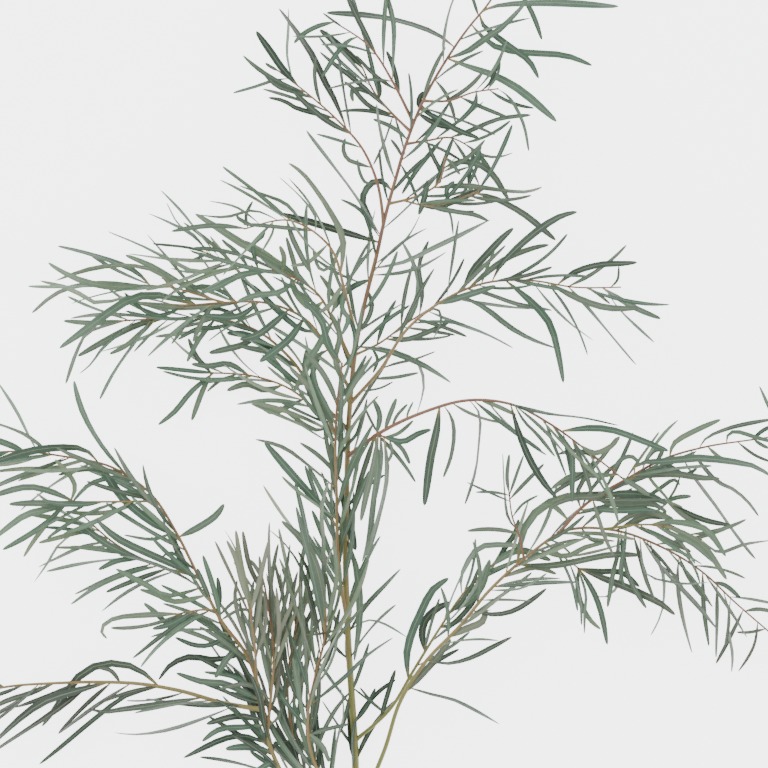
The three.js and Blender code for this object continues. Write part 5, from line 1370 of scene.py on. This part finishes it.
# %% [markdown]
# ## Leaves that only this scene has
# The extra leaves have marked routes. The small leaves follow each shoot's rule, at the sides that
# it names in turn, with seeded draws for their size, splay, bend and pose. The first draw that is
# clear of the other leaves and the twigs is kept. To find neighbours fast, points of every blade and
# twig are sorted into small cells, and only the cells around a point are searched.

# %% Cells that find a leaf's neighbours
CELL = 4
CLEARANCE = 1.8
ROOT_ZONE = 12
SPOT_GAP = 2.5
AROUND = list(itertools.product((-1, 0, 1), repeat=3))
cells = {}


def cell_of(spot):
    return tuple(math.floor(value / CELL) for value in spot)


def remember(spots):
    for spot in spots:
        cells.setdefault(cell_of(spot), []).append(spot)


def is_clear(spots):
    for spot in spots:
        i, j, k = cell_of(spot)
        for a, b, c in AROUND:
            for other in cells.get((i + a, j + b, k + c), ()):
                if math.dist(spot, other) < CLEARANCE:
                    return False
    return True


def blade_spots(stations, skip):
    spots = []
    run = 0
    for (a, half_a, roll, _), (b, half_b, _, _) in zip(stations, stations[1:]):
        stretch = math.dist(a, b)
        heading = math.atan2(b[1] - a[1], b[0] - a[0])
        rows = max(1, math.ceil(stretch / SPOT_GAP))
        for r in range(rows):
            u = r / rows
            if run + stretch * u < skip:
                continue
            half = half_a + (half_b - half_a) * u
            flat, lift = math.cos(roll) * half, math.sin(roll) * half
            x, y, z = (p + (q - p) * u for p, q in zip(a, b))
            for side in (-1, 0, 1):
                spots.append((x - math.sin(heading) * flat * side,
                              y + math.cos(heading) * flat * side, z + lift * side))
        run += stretch
    return spots


for node in nodes.values():
    for axis in node["bark"]:
        remember(axis)
    for one in node["leaves"]:
        seat = nearest_on(node["bark"], one["root"])
        one["stations"] = blade_stations(one, seat, node["fullness"])
        remember(blade_spots(one["stations"], 0))
print("cells in use:", len(cells))

# %% Extra leaves, and the marked leaves that the solids left out
EXTRA_TRIES = 24
EXTRA_SEED = 5000
EXTRA_SEED_STEP = 31


def try_leaf(node, root, plan, width, next_draw, tries, is_dark=False):
    reach = travelled(plan)[-1]
    for pose in drawn_poses(reach, False, next_draw, tries):
        one = {"plan": plan, "root": root, "width": width, "dark": is_dark, **pose}
        stations = blade_stations(one, root, node["fullness"])
        if is_clear(blade_spots(stations, ROOT_ZONE)):
            one["stations"] = stations
            node["leaves"].append(one)
            remember(blade_spots(stations, 0))
            return True
    return False


marked = list(left_out)
marked += [("main_stem", shape) for shape in STEM_EXTRA]
marked += [(name, shape) for name, one in SHOOTS.items() for shape in one["extra"]]
added = 0
for count, (name, shape) in enumerate(marked):
    node = nodes[name]
    root = nearest_on(node["bark"], shape["route"][0])
    plan = smooth_route([root[:2], *shape["route"][1:]], LEAF_SMOOTHING)
    next_draw = draws(EXTRA_SEED + EXTRA_SEED_STEP * count)
    added += try_leaf(node, root, plan, shape["width"], next_draw, EXTRA_TRIES, shape["dark"])
print("extra leaves:", added, "of", len(marked))

# %% Small leaves along the twigs
SMALL_AIMS = 6
SMALL_TRIES = 8
SMALL_POINTS = 4
SMALL_BEND = 36
GAP_JITTER = 0.5
SPLAY_RANGE = (0.4, 1.6)
HEADING_REACH = 3
SMALL_SEED = 90001
small_draw = draws(SMALL_SEED)


def drawn_between(low, high):
    return low + (high - low) * next(small_draw)


def bent_plan(root, heading, length, bend):
    plan = [root[:2]]
    step = length / SMALL_POINTS
    for i in range(SMALL_POINTS):
        turn = math.radians(heading + bend * (i + 0.5) / SMALL_POINTS)
        x, y = plan[-1]
        plan.append((x + step * math.cos(turn), y + step * math.sin(turn)))
    return smooth_route(plan, LEAF_SMOOTHING)


def heading_at(axis, i):
    ahead = axis[min(i + HEADING_REACH, len(axis) - 1)]
    behind = axis[max(i - HEADING_REACH, 0)]
    return math.degrees(math.atan2(ahead[1] - behind[1], ahead[0] - behind[0]))


def inside_box(plan):
    low, high = cad_box
    return all(low[k] < spot[k] * MM < high[k] for spot in plan for k in (0, 1))


def grow_small(node, axis, i, side, rule):
    for _ in range(SMALL_AIMS):
        splay = rule["splay"] * drawn_between(*SPLAY_RANGE)
        heading = heading_at(axis, i) + side * splay
        length = drawn_between(*rule["lengths"])
        plan = bent_plan(axis[i], heading, length, drawn_between(-SMALL_BEND, SMALL_BEND))
        width = drawn_between(*rule["widths"])
        if not inside_box(plan):
            continue
        if try_leaf(node, axis[i], plan, width, small_draw, SMALL_TRIES):
            return True
    return False


added = wanted = 0
for name, node in nodes.items():
    rule = STEM_SMALL if name == "main_stem" else SHOOTS[name]["small"]
    for axis in node["bark"]:
        length = AXIS_GAP * (len(axis) - 1)
        foot_bare, tip_bare = rule["bare"]
        place = foot_bare * length
        for side in itertools.cycle(rule["sides"]):
            if place > length * (1 - tip_bare):
                break
            wanted += 1
            added += grow_small(node, axis, int(place / AXIS_GAP), side, rule)
            place += rule["gap"] * drawn_between(1 - GAP_JITTER, 1 + GAP_JITTER)
print("small leaves:", added, "of", wanted,
      "all leaves:", sum(len(node["leaves"]) for node in nodes.values()))

# %% [markdown]
# ## Materials
# The leaves are matt and waxy grey-green. A picture of a leaf could be laid on every blade, but noise
# and colour ramps stay sharp from close by, and no two leaves come out alike. Each leaf has its own
# tone, from dark green to pale yellow-green, and leans more or less to olive, with a paler midrib, a
# yellowish foot and fine side veins. The sweep leaves four numbers on the surface for this: how far
# along the leaf, how far across it, its tone and its olive share.

# %% Small helpers for shader nodes
RELIEF_DEPTH = 0.3 * MM


def new_node(tree, kind, **settings):
    node = tree.nodes.new(kind)
    for key, value in settings.items():
        setattr(node, key, value)
    return node


def read_attribute(tree, name):
    return new_node(tree, "ShaderNodeAttribute", attribute_name=name).outputs["Fac"]


def calculate(tree, operation, *values):
    node = new_node(tree, "ShaderNodeMath", operation=operation)
    for socket, value in zip(node.inputs, values):
        if isinstance(value, (int, float)):
            socket.default_value = value
        else:
            tree.links.new(value, socket)
    return node.outputs[0]


def between(tree, value, low, high):
    node = new_node(tree, "ShaderNodeMapRange", interpolation_type="SMOOTHSTEP")
    tree.links.new(value, node.inputs["Value"])
    node.inputs["From Min"].default_value = low
    node.inputs["From Max"].default_value = high
    return node.outputs["Result"]


def mix_colors(tree, share, first, second):
    node = new_node(tree, "ShaderNodeMix", data_type="RGBA", blend_type="MIX")
    sockets = [s for s in node.inputs if s.enabled]
    for socket, value in zip(sockets, (share, first, second)):
        if isinstance(value, (int, float, tuple)):
            socket.default_value = value
        else:
            tree.links.new(value, socket)
    return [s for s in node.outputs if s.enabled][0]


def color_ramp(tree, value, *stops):
    node = new_node(tree, "ShaderNodeValToRGB")
    ramp = node.color_ramp
    while len(ramp.elements) < len(stops):
        ramp.elements.new(0.5)
    for element, (place, color) in zip(ramp.elements, stops):
        element.position = place
        element.color = (*color, 1)
    tree.links.new(value, node.inputs["Fac"])
    return node.outputs["Color"]


def speckle(tree, scale, detail):
    place = new_node(tree, "ShaderNodeTexCoord").outputs["Object"]
    node = new_node(tree, "ShaderNodeTexNoise")
    tree.links.new(place, node.inputs["Vector"])
    node.inputs["Scale"].default_value = scale
    node.inputs["Detail"].default_value = detail
    return node.outputs["Fac"]


def centred(tree, value, amount):
    return calculate(tree, "MULTIPLY_ADD", value, amount, -0.5 * amount)


def new_finish(name):
    finish = bpy.data.materials.new(name)
    finish.use_nodes = True
    tree = finish.node_tree
    return finish, tree, tree.nodes["Principled BSDF"]


def add_relief(tree, shader, height, strength):
    bump = new_node(tree, "ShaderNodeBump")
    bump.inputs["Strength"].default_value = strength
    bump.inputs["Distance"].default_value = RELIEF_DEPTH
    tree.links.new(height, bump.inputs["Height"])
    tree.links.new(bump.outputs["Normal"], shader.inputs["Normal"])


print("relief depth of leaf and bark, m:", RELIEF_DEPTH)

# %% Waxy leaf
LEAF_MOTTLE = 0.36
RIB_EDGE = (0.03, 0.17)
RIB_SHARE = 0.4
RIB_COLOR = (0.30, 0.34, 0.20, 1)
FOOT_EDGE = (0.02, 0.13)
FOOT_COLOR_SHARE = 0.75
FOOT_COLOR = (0.27, 0.20, 0.07, 1)
VEIN_RATE = 260
VEIN_SLANT = -9
VEIN_HEIGHT = 0.25
LEAF_ROUGHNESS = 0.48
LEAF_ROUGH_SPREAD = 0.2
LEAF_SHEEN = 0.28


def make_leaf_finish():
    finish, tree, shader = new_finish("waxy leaf")
    along = read_attribute(tree, "along")
    across = calculate(tree, "ABSOLUTE", read_attribute(tree, "across"))
    tone = read_attribute(tree, "tone")
    mottle = centred(tree, speckle(tree, scale=90, detail=3), LEAF_MOTTLE)
    shade = calculate(tree, "ADD", tone, mottle)
    color = color_ramp(
        tree, shade,
        (0.0, (0.03, 0.054, 0.036)),
        (0.35, (0.061, 0.111, 0.073)),
        (0.65, (0.103, 0.165, 0.106)),
        (1.0, (0.19, 0.246, 0.133)),
    )
    dry = color_ramp(
        tree, shade,
        (0.0, (0.046, 0.048, 0.038)),
        (0.5, (0.106, 0.106, 0.08)),
        (1.0, (0.205, 0.2, 0.145)),
    )
    color = mix_colors(tree, read_attribute(tree, "olive"), color, dry)
    rib = calculate(tree, "SUBTRACT", 1.0, between(tree, across, *RIB_EDGE))
    color = mix_colors(tree, calculate(tree, "MULTIPLY", rib, RIB_SHARE), color, RIB_COLOR)
    foot = calculate(tree, "SUBTRACT", 1.0, between(tree, along, *FOOT_EDGE))
    color = mix_colors(tree, calculate(tree, "MULTIPLY", foot, FOOT_COLOR_SHARE), color, FOOT_COLOR)
    tree.links.new(color, shader.inputs["Base Color"])
    wax = speckle(tree, scale=400, detail=2)
    rough = calculate(tree, "MULTIPLY_ADD", wax, LEAF_ROUGH_SPREAD, LEAF_ROUGHNESS)
    tree.links.new(rough, shader.inputs["Roughness"])
    vein_place = calculate(tree, "ADD", calculate(tree, "MULTIPLY", along, VEIN_RATE),
                           calculate(tree, "MULTIPLY", across, VEIN_SLANT))
    veins = calculate(tree, "MULTIPLY_ADD", calculate(tree, "SINE", vein_place), 0.5, 0.5)
    relief = calculate(tree, "ADD", calculate(tree, "MULTIPLY", veins, VEIN_HEIGHT), rib)
    add_relief(tree, shader, relief, strength=0.35)
    shader.inputs["Specular IOR Level"].default_value = LEAF_SHEEN
    return finish


leaf_finish = make_leaf_finish()
print("leaf finish nodes:", len(leaf_finish.node_tree.nodes))

# %% [markdown]
# The bark is thin and smooth. Low on the stem it is yellow-green, in the middle ochre, and young
# wood, above and towards the tips of most twigs, is red-brown. A number called youth on the sweep
# picks the colour. Real bark is streaked lengthwise, so a noise is read from the place around the
# wood and, much slower, from the distance along it. A fine noise in space breaks the colour up.

# %% Thin bark
STREAK_PACE = 0.02
STREAK_SCALE = 1.6
STREAK_DETAIL = 2
STREAK_SPREAD = 1.1
PATCH_SPREAD = 0.3
FLECK_EDGE = (0.56, 0.7)
FLECK_SHARE = 0.35
FLECK_COLOR = (0.06, 0.04, 0.02, 1)
BARK_ROUGHNESS = 0.42
BARK_ROUGH_SPREAD = 0.25


def lengthwise_noise(tree):
    around = new_node(tree, "ShaderNodeAttribute", attribute_name="ring").outputs["Vector"]
    lane = new_node(tree, "ShaderNodeCombineXYZ")
    slowed = calculate(tree, "MULTIPLY", read_attribute(tree, "run"), STREAK_PACE)
    tree.links.new(slowed, lane.inputs["Z"])
    place = new_node(tree, "ShaderNodeVectorMath", operation="ADD")
    tree.links.new(around, place.inputs[0])
    tree.links.new(lane.outputs["Vector"], place.inputs[1])
    noise = new_node(tree, "ShaderNodeTexNoise")
    tree.links.new(place.outputs["Vector"], noise.inputs["Vector"])
    noise.inputs["Scale"].default_value = STREAK_SCALE
    noise.inputs["Detail"].default_value = STREAK_DETAIL
    return noise.outputs["Fac"]


def make_bark_finish():
    finish, tree, shader = new_finish("thin bark")
    patches = speckle(tree, scale=140, detail=4)
    streaks = lengthwise_noise(tree)
    youth = read_attribute(tree, "youth")
    youth = calculate(tree, "ADD", youth, centred(tree, patches, PATCH_SPREAD))
    youth = calculate(tree, "ADD", youth, centred(tree, streaks, STREAK_SPREAD))
    color = color_ramp(
        tree, youth,
        (0.0, (0.165, 0.172, 0.038)),
        (0.35, (0.222, 0.162, 0.055)),
        (0.7, (0.205, 0.104, 0.054)),
        (1.0, (0.175, 0.074, 0.051)),
    )
    flecks = between(tree, speckle(tree, scale=900, detail=3), *FLECK_EDGE)
    color = mix_colors(tree, calculate(tree, "MULTIPLY", flecks, FLECK_SHARE), color, FLECK_COLOR)
    tree.links.new(color, shader.inputs["Base Color"])
    rough = calculate(tree, "MULTIPLY_ADD", patches, BARK_ROUGH_SPREAD, BARK_ROUGHNESS)
    tree.links.new(rough, shader.inputs["Roughness"])
    add_relief(tree, shader, speckle(tree, scale=700, detail=4), strength=0.5)
    return finish


bark_finish = make_bark_finish()
print("bark finish nodes:", len(bark_finish.node_tree.nodes))

# %% [markdown]
# ## Sweeping blades and bark with Geometry Nodes
# A leaf could be a flat card, but a card has no edge and no fold. A leaf follows its midrib and a
# twig its axis, so both are sections swept along a line. The blade section is a flat rhombus,
# folded up a little on both sides of the midrib. Its width comes from the stations, and tilt turns
# it. The twig section is round. It keeps each corner's place around the wood for the streaks, and a
# small swelling is set on the bark under every leaf.

# %% Small helpers for geometry nodes
def start_tree(name, inputs):
    tree = bpy.data.node_groups.new(name, "GeometryNodeTree")
    tree.interface.new_socket("Lines", in_out="INPUT", socket_type="NodeSocketGeometry")
    for label, kind in inputs:
        tree.interface.new_socket(label, in_out="INPUT", socket_type=kind)
    tree.interface.new_socket("Pieces", in_out="OUTPUT", socket_type="NodeSocketGeometry")
    return tree, new_node(tree, "NodeGroupInput"), new_node(tree, "NodeGroupOutput")


def store(tree, geometry, name, value, kind):
    node = new_node(tree, "GeometryNodeStoreNamedAttribute", data_type=kind, domain="POINT")
    node.inputs["Name"].default_value = name
    tree.links.new(geometry, node.inputs["Geometry"])
    tree.links.new(value, node.inputs["Value"])
    return node.outputs["Geometry"]


def named(tree, name):
    node = new_node(tree, "GeometryNodeInputNamedAttribute", data_type="FLOAT")
    node.inputs["Name"].default_value = name
    return node.outputs["Attribute"]


def swept(tree, lines, size_name, section, tilt_name=None):
    curve = new_node(tree, "GeometryNodeMeshToCurve")
    tree.links.new(lines, curve.inputs["Mesh"])
    upright = new_node(tree, "GeometryNodeSetCurveNormal", mode="Z_UP")
    tree.links.new(curve.outputs["Curve"], upright.inputs["Curve"])
    result = upright.outputs["Curve"]
    if tilt_name:
        tilted = new_node(tree, "GeometryNodeSetCurveTilt")
        tree.links.new(result, tilted.inputs["Curve"])
        tree.links.new(named(tree, tilt_name), tilted.inputs["Tilt"])
        result = tilted.outputs["Curve"]
    sweep = new_node(tree, "GeometryNodeCurveToMesh")
    sweep.inputs["Fill Caps"].default_value = True
    tree.links.new(result, sweep.inputs["Curve"])
    tree.links.new(section, sweep.inputs["Profile Curve"])
    tree.links.new(named(tree, size_name), sweep.inputs["Scale"])
    return sweep.outputs["Mesh"]


def finish_tree(tree, geometry, material, output):
    real = new_node(tree, "GeometryNodeRealizeInstances")
    tree.links.new(geometry, real.inputs["Geometry"])
    paint = new_node(tree, "GeometryNodeSetMaterial")
    tree.links.new(real.outputs["Geometry"], paint.inputs["Geometry"])
    tree.links.new(material, paint.inputs["Material"])
    tree.links.new(paint.outputs["Geometry"], output.inputs["Pieces"])


print("helpers:", [helper.__name__ for helper in (start_tree, store, named, swept, finish_tree)])

# %% The blade tree
BLADE_CORNERS = 4
SOFT_ANGLE = 1.2


def make_blade_tree():
    tree, given, output = start_tree("leaf blades", [
        ("Thickness", "NodeSocketFloat"), ("Fold", "NodeSocketFloat"),
        ("Material", "NodeSocketMaterial"),
    ])
    section = new_node(tree, "GeometryNodeCurvePrimitiveCircle")
    section.inputs["Resolution"].default_value = BLADE_CORNERS
    section.inputs["Radius"].default_value = 1
    place = new_node(tree, "ShaderNodeSeparateXYZ")
    tree.links.new(new_node(tree, "GeometryNodeInputPosition").outputs[0], place.inputs[0])
    numbered = store(tree, section.outputs["Curve"], "across", place.outputs["X"], "FLOAT")
    flat = calculate(tree, "MULTIPLY", place.outputs["Y"], given.outputs["Thickness"])
    lift = calculate(tree, "MULTIPLY", calculate(tree, "ABSOLUTE", place.outputs["X"]),
                     given.outputs["Fold"])
    folded = new_node(tree, "ShaderNodeCombineXYZ")
    tree.links.new(place.outputs["X"], folded.inputs["X"])
    tree.links.new(calculate(tree, "SUBTRACT", flat, lift), folded.inputs["Y"])
    shaped = new_node(tree, "GeometryNodeSetPosition")
    tree.links.new(numbered, shaped.inputs["Geometry"])
    tree.links.new(folded.outputs["Vector"], shaped.inputs["Position"])
    blades = swept(tree, given.outputs["Lines"], "half_width", shaped.outputs["Geometry"], "roll")
    angle = new_node(tree, "GeometryNodeInputMeshEdgeAngle")
    soft = calculate(tree, "LESS_THAN", angle.outputs["Unsigned Angle"], SOFT_ANGLE)
    smooth = new_node(tree, "GeometryNodeSetShadeSmooth", domain="EDGE")
    tree.links.new(blades, smooth.inputs["Geometry"])
    tree.links.new(soft, smooth.inputs["Shade Smooth"])
    finish_tree(tree, smooth.outputs["Geometry"], given.outputs["Material"], output)
    return tree


blade_tree = make_blade_tree()
print("blade tree nodes:", len(blade_tree.nodes))

# %% The bark tree
SEAT_ROUNDS = 2


def make_bark_tree():
    tree, given, output = start_tree("twigs and leaf seats", [
        ("Sides", "NodeSocketInt"), ("Material", "NodeSocketMaterial"),
    ])
    section = new_node(tree, "GeometryNodeCurvePrimitiveCircle")
    tree.links.new(given.outputs["Sides"], section.inputs["Resolution"])
    section.inputs["Radius"].default_value = 1
    place = new_node(tree, "GeometryNodeInputPosition").outputs[0]
    ring = store(tree, section.outputs["Curve"], "ring", place, "FLOAT_VECTOR")
    wood = swept(tree, given.outputs["Lines"], "girth", ring)
    smooth = new_node(tree, "GeometryNodeSetShadeSmooth")
    tree.links.new(wood, smooth.inputs["Geometry"])
    bead = new_node(tree, "GeometryNodeMeshIcoSphere")
    bead.inputs["Radius"].default_value = 1
    bead.inputs["Subdivisions"].default_value = SEAT_ROUNDS
    soft_bead = new_node(tree, "GeometryNodeSetShadeSmooth")
    tree.links.new(bead.outputs["Mesh"], soft_bead.inputs["Geometry"])
    seats = new_node(tree, "GeometryNodeInstanceOnPoints")
    tree.links.new(given.outputs["Lines"], seats.inputs["Points"])
    tree.links.new(calculate(tree, "GREATER_THAN", named(tree, "seat"), 0.0), seats.inputs["Selection"])
    tree.links.new(soft_bead.outputs["Geometry"], seats.inputs["Instance"])
    tree.links.new(named(tree, "seat"), seats.inputs["Scale"])
    both = new_node(tree, "GeometryNodeJoinGeometry")
    tree.links.new(seats.outputs["Instances"], both.inputs["Geometry"])
    tree.links.new(smooth.outputs["Geometry"], both.inputs["Geometry"])
    finish_tree(tree, both.outputs["Geometry"], given.outputs["Material"], output)
    return tree


bark_tree = make_bark_tree()
print("bark tree nodes:", len(bark_tree.nodes))

# %% Lines with numbers on them, turned into a plain mesh
def sweep_piece(name, lines, numbers, tree, settings):
    spots = [tuple(value * MM for value in spot) for line in lines for spot in line]
    edges = []
    start = 0
    for line in lines:
        edges += [(start + i, start + i + 1) for i in range(len(line) - 1)]
        start += len(line)
    path = bpy.data.meshes.new(name + " lines")
    path.from_pydata(spots, edges, [])
    for key, values in numbers.items():
        path.attributes.new(key, "FLOAT", "POINT").data.foreach_set("value", values)
    piece = bpy.data.objects.new(name, path)
    scene.collection.objects.link(piece)
    build = piece.modifiers.new("sweep", "NODES")
    build.node_group = tree
    for item in tree.interface.items_tree:
        if item.in_out == "INPUT" and item.name in settings:
            build[item.identifier] = settings[item.name]
    drawn = piece.evaluated_get(bpy.context.evaluated_depsgraph_get())
    made = bpy.data.meshes.new_from_object(drawn)
    made.name = name
    piece.modifiers.remove(build)
    piece.data = made
    bpy.data.meshes.remove(path)
    return piece


print("maker of all swept pieces:", sweep_piece.__name__)

# %% [markdown]
# ## Leaves and bark of every shoot
# Each node of the frame gets two pieces: its blades and its bark. Both stand for the plain solid,
# which stays hidden. The tone of a leaf is drawn once, around a mean for its shoot: pale at the
# left, darker along the stem, at the top and near the cut end. The far-left shoot pales towards its
# tip. Leaves rooted low, in the dense part near the cut end, are darkened further by painted shade.
# The upright shoots beside the stem are more olive. The bark's youth grows from the foot of each
# twig to its tip, and on the stem it grows away from the cut end.

# %% Tones of the leaves and youth of the bark
LEAF_TONE = {
    "main_stem": 0.3, "shoot_far_left": 0.56, "shoot_low_left": 0.22, "shoot_left_broad": 0.58,
    "shoot_left_long": 0.5, "shoot_left_high": 0.58, "shoot_left_level": 0.5,
    "shoot_upright_one": 0.6, "shoot_upright_two": 0.66, "shoot_upright_three": 0.72,
    "shoot_upright_four": 0.72, "shoot_top_left": 0.32, "shoot_top_inner": 0.32,
    "shoot_upper_left": 0.28, "shoot_top_right": 0.28, "shoot_right_curl": 0.3,
    "shoot_mid_right": 0.3, "shoot_right_fan": 0.34, "shoot_mid_low": 0.34,
    "shoot_right_inner": 0.36, "shoot_right_outer": 0.54, "shoot_right_spread": 0.58,
}
LEAF_OLIVE = {
    "main_stem": 0.15, "shoot_far_left": 0.16, "shoot_low_left": 0.5, "shoot_left_broad": 0.1,
    "shoot_left_long": 0.1, "shoot_left_high": 0.12, "shoot_left_level": 0.12,
    "shoot_upright_one": 0.25, "shoot_upright_two": 0.5, "shoot_upright_three": 0.6,
    "shoot_upright_four": 0.6, "shoot_right_outer": 0.32, "shoot_right_spread": 0.22,
}
TWIG_YOUTH = {
    "shoot_right_inner": (-0.1, 0.4), "shoot_right_outer": (-0.15, 1.0), "shoot_far_left": (0.15, 0.85),
    "shoot_low_left": (0.2, 0.45), "shoot_upright_one": (0.3, 0.6), "shoot_upright_two": (0.3, 0.6),
    "shoot_top_left": (0.75, 0.9), "shoot_top_inner": (0.75, 0.9), "shoot_upper_left": (0.75, 0.9),
    "shoot_top_right": (0.75, 0.95), "shoot_right_curl": (0.7, 0.9), "shoot_arch": (0.75, 1.0),
    "shoot_right_spread": (0.8, 0.95), "shoot_small_upright": (0.8, 0.95),
}
USUAL_TONE = 0.53
USUAL_OLIVE = 0.18
USUAL_YOUTH = (0.4, 0.65)
TONE_RANGE = 0.54
# Tone taken from leaves marked dark: partly their own colour, partly painted shade.
DARK_AND_SHADE_DROP = 0.26
PALING = {"shoot_far_left": 0.0016}
PALING_FROM = -210
# Leaves rooted below this level, in the dense foot of the branch, get painted shade.
FOOT_SHADE_LEVEL = -190
FOOT_SHADE_DROP = 0.16
OLIVE_RANGE = 0.6
STEM_YOUTH_LIMITS = (0.02, 0.85)
STEM_YOUTH_START = 0.1
STEM_YOUTH_GAIN = 0.55
STEM_YOUTH_FROM = -170
STEM_YOUTH_RUN = 320
TONE_SEED = 77


def stem_youth(y):
    low, high = STEM_YOUTH_LIMITS
    youth = STEM_YOUTH_START + STEM_YOUTH_GAIN * (y - STEM_YOUTH_FROM) / STEM_YOUTH_RUN
    return min(high, max(low, youth))


print("youth of the stem, foot and tip:", [stem_youth(STEM_ROUTE[i][1]) for i in (0, -1)])

# %% Blades
FOLD = 0.2


def make_blades(name, node, next_draw):
    lines, half_width, roll, along, tone, olive = [], [], [], [], [], []
    mean_tone = LEAF_TONE.get(name, USUAL_TONE)
    mean_olive = LEAF_OLIVE.get(name, USUAL_OLIVE)
    paling = PALING.get(name, 0)
    for one in node["leaves"]:
        own_tone = mean_tone + TONE_RANGE * (next(next_draw) - 0.5)
        own_tone += paling * (PALING_FROM - one["root"][0])
        # Leaves marked dark lose tone, partly for their own colour and partly as painted shade.
        own_tone -= DARK_AND_SHADE_DROP if one["dark"] else 0
        # Painted shade: leaves rooted low, where the branch is dense near the cut end, are darker.
        own_tone -= FOOT_SHADE_DROP if one["root"][1] < FOOT_SHADE_LEVEL else 0
        own_olive = mean_olive + OLIVE_RANGE * (next(next_draw) - 0.5)
        lines.append([spot for spot, _, _, _ in one["stations"]])
        half_width += [half * MM for _, half, _, _ in one["stations"]]
        roll += [turn for _, _, turn, _ in one["stations"]]
        along += [t for _, _, _, t in one["stations"]]
        tone += [own_tone] * len(one["stations"])
        olive += [min(1, max(0, own_olive))] * len(one["stations"])
    numbers = {"half_width": half_width, "roll": roll, "along": along, "tone": tone, "olive": olive}
    settings = {"Thickness": THICKNESS, "Fold": FOLD, "Material": leaf_finish}
    return sweep_piece(name + "_leaves", lines, numbers, blade_tree, settings)


print("nodes with a leaf tone of their own:", len(LEAF_TONE))

# %% Bark
TWIG_SLIMNESS = 0.95
TWIG_GIRTH = {"shoot_low_left": 1.25}
COLLAR = 0.35
COLLAR_LENGTH = 5
SEAT_SHARE = 0.9
SEAT_EXTRA = 0.3
STEM_ROUND = 24
TWIG_ROUND = 8


def make_bark(name, node):
    lines, girth, youth, seat, run = [], [], [], [], []
    is_stem = name == "main_stem"
    at_foot, at_tip = TWIG_YOUTH.get(name, USUAL_YOUTH)
    for (thick, thin), axis in zip(node["radii"], node["bark"]):
        lines.append(axis)
        for i, spot in enumerate(axis):
            share = i / (len(axis) - 1)
            radius = thick + (thin - thick) * share
            if is_stem:
                radius *= STEM_SLIMNESS
            else:
                radius *= TWIG_SLIMNESS * TWIG_GIRTH.get(name, 1)
                radius *= 1 + COLLAR * math.exp(-i * AXIS_GAP / COLLAR_LENGTH)
            girth.append(radius * MM)
            along_twig = at_foot + (at_tip - at_foot) * share
            youth.append(stem_youth(spot[1]) if is_stem else along_twig)
            seat.append(0.0)
            run.append(i * AXIS_GAP)
    tip_radius = min(radii[1] for radii in node["radii"])
    for one in node["leaves"]:
        foot = one["stations"][0][0]
        lines.append([foot])
        girth.append(0.0)
        youth.append(stem_youth(foot[1]) if is_stem else at_tip)
        seat.append((SEAT_SHARE * tip_radius + SEAT_EXTRA) * MM)
        run.append(0.0)
    numbers = {"girth": girth, "youth": youth, "seat": seat, "run": run}
    settings = {"Sides": STEM_ROUND if is_stem else TWIG_ROUND, "Material": bark_finish}
    return sweep_piece(name + "_bark", lines, numbers, bark_tree, settings)


print("sides of the stem and of a twig:", STEM_ROUND, TWIG_ROUND)

# %% Make every shoot and tie it to the frame
tone_draw = draws(TONE_SEED)
triangles = 0
for name, node in nodes.items():
    for piece, slot in ((make_blades(name, node, tone_draw), "leaf"), (make_bark(name, node), "stem")):
        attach(piece, "root")
        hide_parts(name)
        piece.data.calc_loop_triangles()
        triangles += len(piece.data.loop_triangles)
print("pieces:", 2 * len(nodes), "triangles:", triangles)

# %% [markdown]
# ## The cut end
# A fresh cut shows pale wood inside a thin rim of bark, with a darker pith in the middle. It is a
# low button turned around the stem's axis, with its back hidden in the stem, so that it is closed.
# Each corner carries its share of the radius, and the colour is picked by that share.

# %% Pale wood of the cut
CUT_SIDES = 24
CUT_PROFILE = ((0.0, 0.3), (0.2, 0.28), (0.5, 0.3), (0.8, 0.26), (0.88, 0.0), (0.8, -1.0), (0.0, -1.0))
CUT_ROUGHNESS = 0.75
CUT_GRAIN = 0.3


def make_cut_finish():
    finish, tree, shader = new_finish("cut wood")
    shader.inputs["Roughness"].default_value = CUT_ROUGHNESS
    grain = centred(tree, speckle(tree, scale=1500, detail=3), CUT_GRAIN)
    share = calculate(tree, "ADD", read_attribute(tree, "share"), grain)
    color = color_ramp(
        tree, share,
        (0.08, (0.13, 0.075, 0.035)),
        (0.22, (0.42, 0.31, 0.15)),
        (0.7, (0.46, 0.38, 0.19)),
        (0.88, (0.24, 0.25, 0.08)),
    )
    tree.links.new(color, shader.inputs["Base Color"])
    return finish


def make_cut_face():
    end, ahead = nodes["main_stem"]["bark"][0][:2]
    heading = math.atan2(ahead[1] - end[1], ahead[0] - end[0])
    radius = STEM_RADII[0] * STEM_SLIMNESS
    corners, shares = [], []
    for share, out in CUT_PROFILE:
        for k in range(1 if share == 0 else CUT_SIDES):
            turn = 2 * math.pi * k / CUT_SIDES
            across = share * radius * math.cos(turn)
            corners.append((
                (end[0] - out * math.cos(heading) - across * math.sin(heading)) * MM,
                (end[1] - out * math.sin(heading) + across * math.cos(heading)) * MM,
                (end[2] + share * radius * math.sin(turn)) * MM,
            ))
            shares.append(share)
    back = len(corners) - 1
    rows = len(CUT_PROFILE) - 2
    faces = []
    for k in range(CUT_SIDES):
        after = (k + 1) % CUT_SIDES
        faces.append((0, 1 + k, 1 + after))
        for row in range(rows - 1):
            low, high = 1 + row * CUT_SIDES, 1 + (row + 1) * CUT_SIDES
            faces.append((low + k, high + k, high + after, low + after))
        last = 1 + (rows - 1) * CUT_SIDES
        faces.append((last + k, back, last + after))
    mesh = bpy.data.meshes.new("main_stem_cut")
    mesh.from_pydata(corners, [], faces)
    mesh.attributes.new("share", "FLOAT", "POINT").data.foreach_set("value", shares)
    mesh.materials.append(make_cut_finish())
    piece = bpy.data.objects.new("main_stem_cut", mesh)
    scene.collection.objects.link(piece)
    return piece


cut_face = make_cut_face()
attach(cut_face, "root")
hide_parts("main_stem")
print("cut face corners:", len(cut_face.data.vertices))
